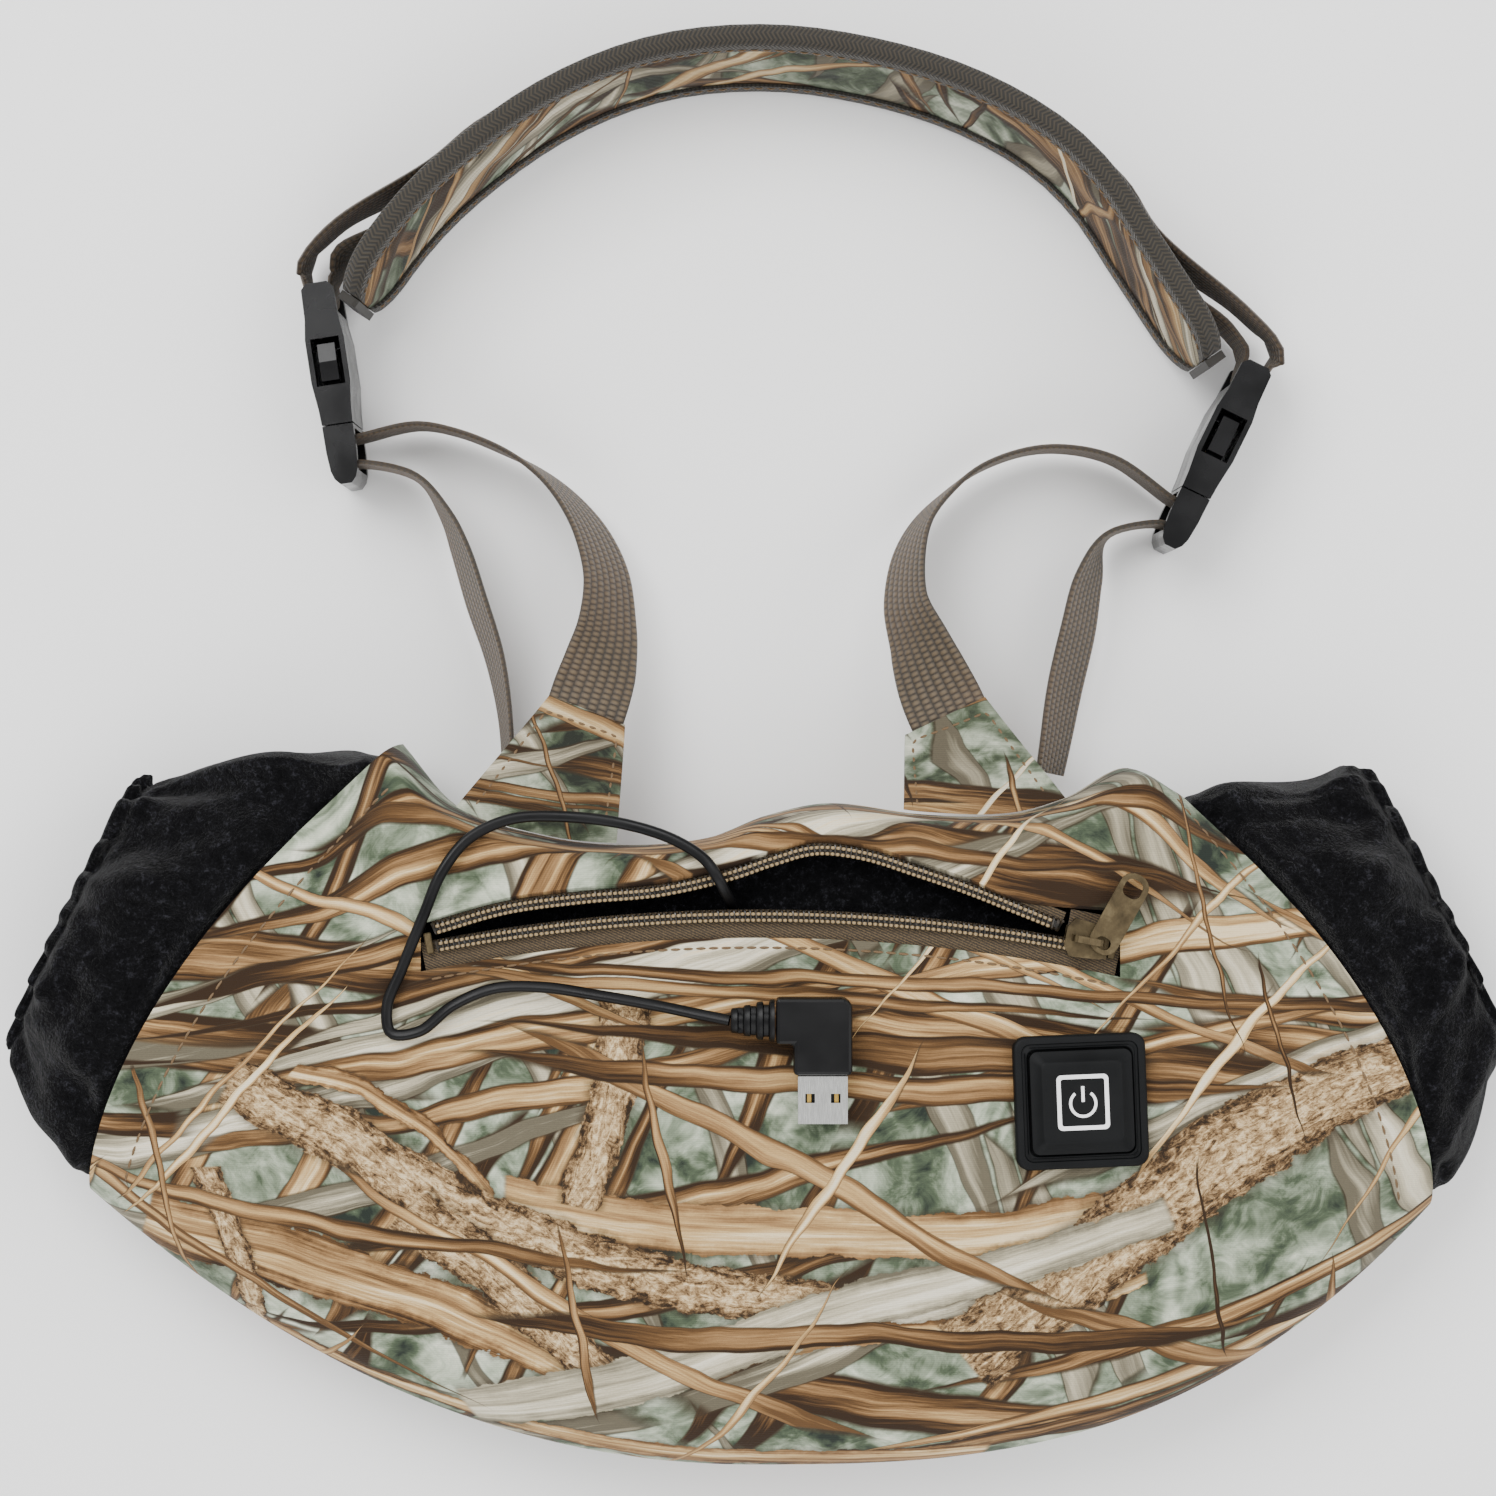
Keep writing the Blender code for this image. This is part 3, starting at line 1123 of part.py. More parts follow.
def make_key(frame, tact_foot, looks):
    """The raised key: it goes down by its travel onto the tact switch."""
    foot_z = tact_foot + 0.1
    top_z = foot_z + KEY_TALL - 2.0
    rings = [(KEY_FOOT / 2, foot_z + KEY_TRAVEL, 2.0), (KEY_FOOT / 2, foot_z + KEY_TRAVEL + 0.8, 2.0),
             (KEY_TOP / 2 + 0.4, top_z - 0.3, 1.4), (KEY_TOP / 2, top_z, 1.2)]
    points = [frame @ Vector((x, y, z)) for half, z, corner in rings
              for x, y in rounded_rectangle(half, half, corner, 3)]
    count = len(points) // len(rings)
    faces = [list(range(count))[::-1], list(range(len(points) - count, len(points)))]
    for k in range(len(rings) - 1):
        for c in range(count):
            n = (c + 1) % count
            faces.append([count * k + c, count * k + n, count * (k + 1) + n, count * (k + 1) + c])
    key = add_object("power_key", points, faces, looks["silicone"], origin=frame.translation)
    recess = TACT_SIZE / 2 + 0.8
    combine(key, add_prism("key_recess", looks["silicone"],
                           rectangle((-recess, recess), (-recess, recess)), foot_z - 1,
                           tact_foot + TACT_TALL + KEY_TRAVEL + CLEARANCE, frame), "DIFFERENCE")


# ------------------------------------------------------------------ leads and USB plug


def vertical_hole(obj, name, x, y, radius, low, high, looks):
    outline = rounded_rectangle(radius, radius, radius * 0.98, 3)
    tool = add_prism(name, looks["steel"], [(a + x, b + y) for a, b in outline], low, high)
    return combine(obj, tool, "DIFFERENCE")


def add_pin(name, look, x, y, radius, low, high):
    outline = rounded_rectangle(radius, radius, radius * 0.98, 3)
    return add_prism(name, look, [(a + x, b + y) for a, b in outline], low, high)


def make_leads(shell, wadding, pocket, frame, bottom, looks):
    """The lead through the pocket's back wall to the heating pad, and the switch's own lead."""
    x, y, z = CABLE_ROUTE[0]
    pad_x, pad_y = x + 2.6, y - 2.6
    pocket_floor = skin_at(pad_x, pad_y, 0).z - POCKET_BOTTOM
    s, w = find(pad_x, pad_y)
    pad_top = skin(s, w, 1, wadding_inset(rise_at(w), WADDING_CHANGE_FRONT) + CLEARANCE).z
    collar = 3.2
    vertical_hole(pocket, "grommet_hole", pad_x, pad_y, 2.6, pocket_floor - 4, pocket_floor + 3,
                  looks)
    vertical_hole(wadding, "wadding_hole", pad_x, pad_y, 3.0, pad_top - 5, pocket_floor + 6, looks)
    flange = pocket_floor + POCKET_WALL + CLEARANCE + 0.3
    add_pin("heater_lead", looks["rubber"], pad_x, pad_y, LEAD_DIAMETER / 2,
            pad_top + CLEARANCE + 0.3, flange - CLEARANCE)
    chamfer(add_pin("grommet", looks["rubber"], pad_x, pad_y, collar, flange, flange + 2.4), 0.5)
    under = frame @ Vector((0, 0, bottom + 0.9))
    x, y = under.x, under.y
    s, w = find(x, y)
    pad_top = skin(s, w, 1, wadding_inset(rise_at(w), WADDING_CHANGE_FRONT) + CLEARANCE).z
    vertical_hole(shell, "switch_hole", x, y, 2.2, under.z - 8, under.z + 3, looks)
    vertical_hole(wadding, "switch_wadding_hole", x, y, 2.6, pad_top - 6, under.z + 3, looks)
    add_pin("switch_lead", looks["rubber"], x, y, LEAD_DIAMETER / 2, pad_top + 1.6, under.z - 0.2)


def make_usb(looks):
    route = curve_through(CABLE_ROUTE, 2.6 * CABLE_DIAMETER)
    add_tube("usb_cable", looks["rubber"], route, CABLE_DIAMETER)
    end = route[-1]
    start = end + Vector((CLEARANCE, 0, 0))
    boot_points, faces = [], []
    count = 10
    rings = [(0.0, 2.3), (1.6, 2.5), (1.9, 1.9), (2.9, 1.9), (3.2, 3.0), (4.7, 3.2), (5.0, 2.3),
             (6.0, 2.3), (6.3, 3.7), (7.8, 3.9), (8.1, 2.6), (9.1, 2.6), (9.4, 4.2), (10.6, 4.3)]
    for x, radius in rings:
        for k in range(count):
            turn = math.tau * (k + 0.5) / count
            boot_points.append(start + Vector((x, radius * math.cos(turn) * 1.2,
                                               radius * math.sin(turn) * 0.85)))
    for k in range(len(rings) - 1):
        for c in range(count):
            n = (c + 1) % count
            faces.append([count * k + c, count * k + n, count * (k + 1) + n, count * (k + 1) + c])
    faces += [list(range(count))[::-1], list(range(len(boot_points) - count, len(boot_points)))]
    add_object("usb_boot", boot_points, faces, looks["rubber"])
    left = start.x + rings[-1][0] + CLEARANCE
    make_plug(left, start.y, start.z, looks)


def make_plug(left, y, z, looks):
    """The angled moulding, with the metal shell pointing down the front."""
    body_long, body_tall, body_thick = 18.4, 11.2, 8.2
    block_wide, block_tall = 14.2, 7.4
    right = left + body_long
    low_y = y - body_tall / 2 - block_tall
    outline = [(left, y - body_tall / 2), (right - block_wide, y - body_tall / 2),
               (right - block_wide, low_y), (right, low_y), (right, y + body_tall / 2 - 1.6),
               (right - 1.6, y + body_tall / 2), (left, y + body_tall / 2)]
    chamfer(add_prism("usb_moulding", looks["rubber"], outline, z - body_thick / 2,
                      z + body_thick / 2), 0.9, 2)
    middle = right - block_wide / 2
    face = low_y - CLEARANCE
    half_wide, half_thick = USB_WIDE / 2, USB_THICK / 2
    outer = rectangle((middle - half_wide, middle + half_wide), (z - half_thick, z + half_thick))
    inner = rectangle((middle - half_wide + USB_WALL, middle + half_wide - USB_WALL),
                      (z - half_thick + USB_WALL, z + half_thick - USB_WALL))
    grids = [[[(x, face - depth, h) for depth in (0.0, USB_LONG)] for x, h in loop]
             for loop in (outer, inner)]
    shell = add_sheet("usb_shell", looks["steel"], *grids, ring=True)
    for k in (-1, 1):
        hole = rectangle((middle + k * 3.1 - 1.15, middle + k * 3.1 + 1.15),
                         (face - 6.4, face - 4.2))
        combine(shell, add_prism(f"shell_hole_{k}", looks["steel"], hole, z, z + half_thick + 1),
                "DIFFERENCE")
    tongue_top = z - half_thick + USB_WALL + CLEARANCE + 1.7
    tongue = (middle - half_wide + USB_WALL + CLEARANCE, middle + half_wide - USB_WALL - CLEARANCE)
    add_prism("usb_tongue", looks["rubber"], rectangle(tongue, (face - USB_LONG + 0.8, face)),
              tongue_top - 1.7, tongue_top)
    for k in range(4):
        x = middle + (k - 1.5) * 2.2
        add_prism(f"usb_contact_{k + 1}", looks["gold"],
                  rectangle((x - 0.5, x + 0.5), (face - USB_LONG + 2.4, face - 2.0)),
                  tongue_top + CLEARANCE, tongue_top + CLEARANCE + 0.25)


# ------------------------------------------------------------------ everything


def make_looks():
    return {
        "camouflage": material("camouflage_cloth", (0.42, 0.36, 0.26), 0.9),
        "fleece": material("black_fleece", (0.012, 0.012, 0.013), 0.95),
        "wadding": material("wadding", (0.82, 0.82, 0.8), 0.95),
        "heater": material("heating_sheet", (0.05, 0.05, 0.055), 0.6),
        "elastic": material("elastic", (0.1, 0.1, 0.1), 0.8),
        "webbing": material("olive_webbing", (0.25, 0.21, 0.14), 0.8),
        "binding": material("olive_binding", (0.2, 0.17, 0.11), 0.85),
        "foam": material("foam", (0.2, 0.2, 0.2), 0.9),
        "acetal": material("black_acetal", (0.02, 0.02, 0.022), 0.4),
        "tape": material("zip_tape", (0.2, 0.16, 0.1), 0.85),
        "coil": material("zip_coil", (0.28, 0.23, 0.17), 0.45),
        "brass": material("aged_brass", (0.36, 0.29, 0.15), 0.38, 0.9),
        "silicone": material("black_silicone", (0.015, 0.016, 0.018), 0.55),
        "board": material("circuit_board", (0.03, 0.16, 0.06), 0.5),
        "steel": material("plated_steel", (0.62, 0.62, 0.62), 0.28, 1.0),
        "gold": material("gold_contact", (0.85, 0.62, 0.25), 0.3, 1.0),
        "rubber": material("black_rubber", (0.015, 0.015, 0.016), 0.5),
    }


def main():
    for old in list(bpy.context.scene.objects):
        bpy.data.objects.remove(old, do_unlink=True)
    looks = make_looks()
    shell = make_shell(looks)
    wadding = make_inside(looks)
    pocket = make_pocket(looks)
    for side in (-1, 1):
        make_cuff(side, looks)
    for name in ("left", "right"):
        make_tab(name, looks)
        make_strap(name, looks)
        make_buckle(name, looks)
    make_belt(looks)
    make_zip(looks)
    frame, bottom = make_switch(looks)
    make_leads(shell, wadding, pocket, frame, bottom, looks)
    make_usb(looks)


main()
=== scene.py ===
"""Looks of the hand warmer muff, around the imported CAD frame. Lengths in the shape code are in
millimetres and are scaled to metres when a mesh is made."""

import math

import bmesh
import bpy
from mathutils import Matrix, Vector, noise
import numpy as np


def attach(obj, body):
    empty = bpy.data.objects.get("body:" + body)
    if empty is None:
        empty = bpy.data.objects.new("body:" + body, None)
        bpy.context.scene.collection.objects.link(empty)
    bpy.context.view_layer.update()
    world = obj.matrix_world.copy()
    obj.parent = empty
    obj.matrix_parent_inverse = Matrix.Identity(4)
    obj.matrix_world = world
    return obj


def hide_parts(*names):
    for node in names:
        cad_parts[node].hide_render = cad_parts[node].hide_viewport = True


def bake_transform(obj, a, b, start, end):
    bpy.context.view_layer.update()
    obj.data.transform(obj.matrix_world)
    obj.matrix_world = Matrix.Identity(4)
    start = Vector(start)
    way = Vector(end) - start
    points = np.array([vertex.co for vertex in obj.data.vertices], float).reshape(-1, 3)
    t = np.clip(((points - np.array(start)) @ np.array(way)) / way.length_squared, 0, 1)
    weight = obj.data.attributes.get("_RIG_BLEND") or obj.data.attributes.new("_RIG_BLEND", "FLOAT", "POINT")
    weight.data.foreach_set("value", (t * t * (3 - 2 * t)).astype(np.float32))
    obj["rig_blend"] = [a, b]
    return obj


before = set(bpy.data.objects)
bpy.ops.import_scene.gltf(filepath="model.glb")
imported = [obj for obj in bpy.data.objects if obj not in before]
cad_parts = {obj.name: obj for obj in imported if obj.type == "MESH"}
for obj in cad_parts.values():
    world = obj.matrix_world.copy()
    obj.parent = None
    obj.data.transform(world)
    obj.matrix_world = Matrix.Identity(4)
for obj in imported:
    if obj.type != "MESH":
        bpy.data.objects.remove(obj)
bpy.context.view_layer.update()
MM = 0.001
UP = Vector((0, 0, 1))

# ------------------------------------------------------------------ node materials


class Value:
    """An output in a material's node tree; arithmetic on it adds Math nodes."""

    def __init__(self, look, socket):
        self.look, self.socket = look, socket

    def __add__(self, other):
        return self.look.calc("ADD", self, other)

    def __radd__(self, other):
        return self.look.calc("ADD", other, self)

    def __sub__(self, other):
        return self.look.calc("SUBTRACT", self, other)

    def __rsub__(self, other):
        return self.look.calc("SUBTRACT", other, self)

    def __mul__(self, other):
        return self.look.calc("MULTIPLY", self, other)

    def __truediv__(self, other):
        return self.look.calc("DIVIDE", self, other)


def shade(text, by=1.0):
    """A colour from its hexadecimal form, made linear."""
    found = []
    for k in (0, 2, 4):
        value = int(text[k:k + 2], 16) / 255
        found.append(by * (value / 12.92 if value < 0.04045 else ((value + 0.055) / 1.055) ** 2.4))
    return tuple(found)


class Look:
    """A material being built; values, numbers and hexadecimal colours can be given to its calls."""

    def __init__(self, name):
        self.made = bpy.data.materials.new(name)
        self.made.use_nodes = True
        self.tree = self.made.node_tree
        self.inputs = self.tree.nodes["Principled BSDF"].inputs

    def feed(self, socket, value):
        if isinstance(value, Value):
            self.tree.links.new(value.socket, socket)
        elif value is not None:
            value = shade(value) if isinstance(value, str) else value
            if hasattr(socket.default_value, "__len__"):
                size = len(socket.default_value)
                value = (*value, 1.0)[:size] if hasattr(value, "__len__") else (value,) * size
            socket.default_value = value

    def add(self, kind, inputs, **settings):
        made = self.tree.nodes.new(kind)
        for key, value in settings.items():
            setattr(made, key, value)
        for key, value in inputs.items():
            self.feed(made.inputs[key], value)
        return made

    def node(self, kind, inputs, output=0, **settings):
        return Value(self, self.add(kind, inputs, **settings).outputs[output])

    def calc(self, operation, a, b=None):
        return self.node("ShaderNodeMath", {0: a, 1: b}, operation=operation)

    def vector(self, operation, a, b):
        second = "Scale" if operation == "SCALE" else 1
        return self.node("ShaderNodeVectorMath", {0: a, second: b}, operation=operation)

    def split(self, vector):
        return [Value(self, out) for out in self.add("ShaderNodeSeparateXYZ", {0: vector}).outputs]

    def join(self, x, y):
        return self.node("ShaderNodeCombineXYZ", {0: x, 1: y})

    def noise(self, vector, scale, detail=3.0, rough=0.55, warp=0.0, output="Fac"):
        return self.node("ShaderNodeTexNoise", {"Vector": vector, "Scale": scale, "Detail": detail,
                                                "Roughness": rough, "Distortion": warp}, output)

    def cells(self, vector, feature, output):
        return self.node("ShaderNodeTexVoronoi", {"Vector": vector, "Scale": 1.0}, output,
                         feature=feature, voronoi_dimensions="2D")

    def ramp(self, factor, stops):
        made = self.add("ShaderNodeValToRGB", {0: factor})
        line = made.color_ramp.elements
        while len(line) < len(stops):
            line.new(0.5)
        for element, (place, colour) in zip(line, stops):
            colour = shade(colour) if isinstance(colour, str) else colour
            element.position = place
            element.color = (*colour, 1.0)
        return Value(self, made.outputs[0])

    def step(self, value, low, high, out=(0.0, 1.0)):
        return self.node("ShaderNodeMapRange", {0: value, 1: low, 2: high, 3: out[0], 4: out[1]},
                         interpolation_type="SMOOTHSTEP")

    def mix(self, factor, a, b, blend="MIX"):
        return self.node("ShaderNodeMix", {0: factor, 6: a, 7: b}, 2, data_type="RGBA",
                         blend_type=blend)

    def bump(self, height, strength, distance, normal=None):
        return self.node("ShaderNodeBump", {"Height": height, "Strength": strength,
                                            "Distance": distance * MM, "Normal": normal})

    def here(self, stretch=(1.0, 1.0, 1.0)):
        """Object coordinates in millimetres, stretched for streaks."""
        place = self.node("ShaderNodeTexCoord", {}, "Object")
        return self.vector("MULTIPLY", place, [1000.0 * s for s in stretch])

    def strip(self):
        """Across and along a strip in millimetres, from its UV map."""
        return self.split(self.node("ShaderNodeTexCoord", {}, "UV"))[:2]

    def turned(self, vector, angle, shift=(0, 0, 0)):
        made = self.node("ShaderNodeMapping", {"Vector": vector, "Location": shift,
                                               "Rotation": (0, 0, angle)})
        return self.split(made)[:2]

    def finish(self, colour, roughness, normal=None, **more):
        self.feed(self.inputs["Base Color"], colour)
        self.feed(self.inputs["Roughness"], roughness)
        self.feed(self.inputs["Normal"], normal)
        for key, value in more.items():
            self.inputs[key.replace("_", " ")].default_value = value
        return self.made


REEDS = ("2a1c0f", "553c22", "876743", "b39363", "d8c39b")
BARK = ("261b10", "503c26", "826849", "ae936c", "cdb892")
PALE = ("5a5445", "87806c", "b3aa92", "d6cfba")
MARSH = ("1f2620", "47523f", "7b8571", "a9b09c", "d3d4c2")
# layers of blades: angle, width, length, share kept, colours, seed and how streaky
UNDER = [(68, 9, 90, 0.20, PALE, 1, 0.6), (-66, 8, 90, 0.20, REEDS, 2),
         (10, 17, 190, 0.2, REEDS, 3), (-24, 14, 170, 0.15, PALE + REEDS[4:], 4),
         (-14, 8, 160, 0.17, REEDS, 5)]
OVER = [(30, 5, 130, 0.06, REEDS[1:], 6), (4, 6, 170, 0.07, REEDS[:4], 8),
        (-56, 2.4, 80, 0.035, REEDS[2:] + PALE[3:], 9), (80, 2.0, 60, 0.02, REEDS[:4], 10)]
# single branches and blades: from, to, width, taper, colours, bow and how ragged
LIMBS = [((-112, -30), (-62, -60), 7, 0.6, REEDS, 5),
         ((-150, -84), (-44, -106), 24, 0.5, REEDS, 8, 2.5),
         ((-60, -60), (100, -64), 13, 0.1, REEDS[1:], -7),
         ((60, -142), (-120, -112), 12, 0.5, REEDS, 9),
         ((-20, -98), (98, -84), 8, 0.5, REEDS[1:], -5),
         ((-30, -4), (-42, -62), 13, 0.2, BARK, 3), ((-134, -62), (-122, -118), 8, 0.3, BARK, 3),
         ((-128, -34), (22, -88), 18, 0.35, BARK, -9, 2.0),
         ((-84, -66), (-30, -116), 17, 0.3, BARK, 4, 2.0),
         ((166, -28), (52, -104), 25, 0.1, BARK, -5, 2.6),
         ((-70, -128), (104, -68), 18, 0.5, PALE, 6)]


def camouflage(name, scale=1.0, shift=(0.0, 0.0, 0.0), limbs=()):
    """Printed reeds, blades and branches over a blurred marsh, on a brushed knit."""
    look = Look(name)
    place = look.vector("ADD", look.here(), shift)
    x, y, z = look.split(place)
    # the print's upward direction follows the cloth down to the top seam and the bottom fold
    sink = (look.calc("MAXIMUM", z, 25.0) - 60.0) * look.step(y, -100, -35, (0.9, -0.9))
    flat = look.join(x * (1 / scale), (y + 54.0 + sink) * (1 / scale))
    warp = look.vector("SUBTRACT", look.noise(flat, 0.03, 2, 0.5, output="Color"), (0.5, 0.5, 0.5))
    warped = look.vector("ADD", flat, look.vector("SCALE", warp, 8.0))
    marsh = look.noise(flat, 0.028, 3, 0.6, 1.4) * 0.72 + look.noise(flat, 0.11, 4, 0.7, 0.8) * 0.34
    colour = look.ramp(marsh, list(zip((0.40, 0.48, 0.55, 0.62, 0.72), MARSH)))

    def painted(colour, keep, tone, stops, shadow, dark):
        last = len(stops) - 1
        spaced = [(0.05 + 0.9 * k / last, c) for k, c in enumerate(stops)]
        return look.mix(keep, look.mix(shadow, colour, dark), look.ramp(tone, spaced))

    def grained(u, v, grain, pick, edge_tone):
        """A blade's tone: streaks along it, a shade of its own and a darker rim."""
        streak = look.noise(look.join(u * 0.02, v * 0.55), 1.0, 5, 0.72)
        broad = look.noise(look.join(u * 0.012, v * 0.16), 1.0, 2, 0.6)
        return (streak - 0.5) * (1.7 * grain) + (broad - 0.5) * 1.3 + pick + edge_tone

    def lay(colour, angle, wide, long, share, stops, seed, grain=1.0):
        """A layer of blades at about one angle; share of them is kept."""
        u, v = look.turned(warped, math.radians(angle), (seed * 37, seed * 61, 0))
        cell = look.join(u * (1 / long), v * (1 / wide))
        pick = look.split(look.cells(cell, "F1", "Color"))
        edge = look.cells(cell, "DISTANCE_TO_EDGE", "Distance")
        kept = look.step(pick[0], 1 - share, 1.003 - share)
        tone = grained(u, v, grain, pick[1] * 0.42, look.step(edge, 0.03, 0.36, (-0.16, 0.42)))
        return painted(colour, kept * look.step(edge, 0.045, 0.065), tone, stops,
                       kept * look.step(edge, 0.0, 0.05, (0.0, 0.85)), "33281b")

    def limb(colour, a, b, wide, taper, stops, bow, rough=1.5):
        """One long branch or blade from a to b, bowed sideways."""
        way = Vector(b) - Vector(a)
        u, v = look.turned(look.vector("SUBTRACT", flat, (*a, 0)), -math.atan2(way.y, way.x))
        t = u * (1 / way.length)
        v = v - t * (1.0 - t) * (4 * bow)
        ragged = (look.noise(flat, 0.12, 4, 0.65) - 0.5) * (rough * 4)
        inside = look.calc("ABSOLUTE", v + ragged) / (wide / 2 + t * (-taper * wide / 2))
        start = look.step(t, 0.0, 0.01)
        rim = look.step(inside, 1.0, 0.35, (-0.25, 0.12))
        if stops is BARK:
            grit = look.noise(flat, 0.38, 6, 0.78, 0.8)
            plates = look.noise(look.join(u * 0.16, v * 0.42), 1.0, 4, 0.75, 1.4)
            tone = (grit - 0.5) * 1.9 + (plates - 0.5) * 2.1 + (rim + 0.5)
        else:
            tone = grained(u, v, 1.0, 0.5, rim)
        keep = look.step(inside, 1.0, 0.94) * (start * look.step(t, 1.0, 0.99))
        dark = look.step(inside, 1.35, 0.9) * (start * look.step(t, 1.0, 0.99, (0.0, 0.6)))
        return painted(colour, keep, tone, stops, dark, "2c2318")

    for row in UNDER:
        colour = lay(colour, *row)
    for row in limbs:
        colour = limb(colour, *row)
    for row in OVER:
        colour = lay(colour, *row)
    if not limbs:
        colour = look.mix(0.22, colour, "2a2118")
    rows = look.node("ShaderNodeTexWave", {"Vector": place, "Scale": 0.62, "Distortion": 1.2,
                                           "Detail": 1.0}, "Fac", bands_direction="Y")
    weave = look.noise(place, 1.9, 2, 0.6) * 0.7 + rows * 0.3
    knit = look.ramp(weave, [(0.3, (0.25,) * 3), (0.75, (0.9,) * 3)])
    normal = look.bump(weave, 0.45, 0.22, look.bump(look.noise(place, 0.25, 3, 0.6), 0.3, 0.5))
    return look.finish(look.mix(0.16, colour, knit, "OVERLAY"),
                       look.step(weave, 0.2, 0.8, (0.78, 0.95)), normal,
                       Sheen_Weight=0.06, Sheen_Roughness=0.5, Specular_IOR_Level=0.2)


def fleece(name):
    look = Look(name)
    pile = look.noise(look.here(), 1.3, 5, 0.75, 0.8)
    tuft = look.noise(look.here(), 0.35, 3, 0.6, 0.5)
    colour = look.ramp(pile * 0.6 + tuft * 0.4,
                       [(0.4, "020203"), (0.54, "0c0c0e"), (0.7, "34343a")])
    normal = look.bump(pile, 0.8, 0.7, look.bump(tuft, 0.5, 1.2))
    return look.finish(colour, 0.95, normal, Sheen_Weight=0.12, Sheen_Roughness=0.35,
                       Specular_IOR_Level=0.08)


def webbing(name):
    """Flat nylon webbing: lengthwise ribs, each crossed by short floats."""
    look = Look(name)
    across, along = look.strip()
    rib = across * (1 / 2.5)
    row = along * (1 / 1.5) + look.calc("MODULO", look.calc("FLOOR", rib), 2.0) * 0.5
    up, side = (look.calc("ABSOLUTE", look.calc("SINE", v * math.pi)) for v in (row, rib))
    height = look.calc("POWER", up, 0.6) * look.calc("POWER", side, 0.5)
    threads_and_highlights = look.noise(look.join(across * 5.0, along * 1.2), 1.0, 3, 0.7)
    tone = height * 0.7 + threads_and_highlights * 0.3
    colour = look.ramp(tone, [(0.15, "120e0a"), (0.5, "3c3023"), (0.9, "67563f")])
    fade = look.ramp(look.noise(look.here(), 0.03, 2), [(0.35, "322e1d"), (0.65, "634f3d")])
    return look.finish(look.mix(0.18, colour, fade), 0.62, look.bump(tone, 0.9, 0.35),
                       Sheen_Weight=0.1)


def herringbone(name, dark, light):
    look = Look(name)
    across, along = look.strip()
    fold = look.calc("ABSOLUTE", look.calc("FRACT", across * (1 / 2.6)) - 0.5)
    height = look.calc("SINE", (along + fold * 2.2) * (math.tau / 1.15)) * 0.5 + 0.5
    return look.finish(look.ramp(height, [(0.1, dark), (0.85, light)]), 0.72,
                       look.bump(height, 0.8, 0.3), Sheen_Weight=0.1)


def tape(name):
    look = Look(name)
    x, y, _ = look.split(look.here())
    tone = look.calc("SINE", (x + y * 2.2) * 4.2) * 0.2 + look.noise(look.here(), 2.2, 2)
    colour = look.ramp(tone, [(0.3, "261e12"), (0.55, "463824"), (0.8, "614f34")])
    return look.finish(colour, 0.8, look.bump(tone, 0.5, 0.2), Sheen_Weight=0.1)


def nylon(name, dark, light, rough=0.35):
    look = Look(name)
    colour = look.ramp(look.noise(look.here(), 0.6, 3), [(0.35, dark), (0.7, light)])
    normal = look.bump(look.noise(look.here(), 3.0, 2), 0.15, 0.1)
    return look.finish(colour, rough, normal)


def moulded(name, colour, rough, grain=2.4, strength=0.12, shine=0.3):
    look = Look(name)
    smear = look.noise(look.here(), 0.08, 2)
    light = tuple(min(1, v * 1.7 + 0.003) for v in shade(colour))
    return look.finish(look.ramp(smear, [(0.3, colour), (0.8, light)]),
                       look.step(smear, 0.3, 0.7, (rough - 0.06, rough + 0.07)),
                       look.bump(look.noise(look.here(), grain, 4, 0.7), strength, 0.15),
                       Specular_IOR_Level=shine)


def aged_brass(name):
    look = Look(name)
    patina = look.noise(look.here(), 0.22, 4, 0.6, 0.3)
    scratch = look.noise(look.here((6.0, 0.7, 1.0)), 1.0, 3, 0.7)
    colour = look.ramp(patina, [(0.3, "3b3222"), (0.55, "584c36"), (0.75, "74674c")])
    return look.finish(colour, look.step(scratch, 0.3, 0.7, (0.28, 0.48)),
                       look.bump(scratch, 0.1, 0.04), Metallic=0.8)


def plated(name, colour="c9c9c6"):
    look = Look(name)
    lines = look.noise(look.here((9.0, 0.4, 1.0)), 1.0, 2)
    return look.finish(look.ramp(lines, [(0.2, shade(colour, 0.8)), (0.8, colour)]),
                       look.step(lines, 0.3, 0.7, (0.2, 0.34)), look.bump(lines, 0.1, 0.03),
                       Metallic=0.9)


def thread(name, colour):
    look = Look(name)
    twist = look.noise(look.here(), 5.0, 2)
    return look.finish(look.ramp(twist, [(0.3, shade(colour, 0.6)), (0.7, colour)]), 0.6)


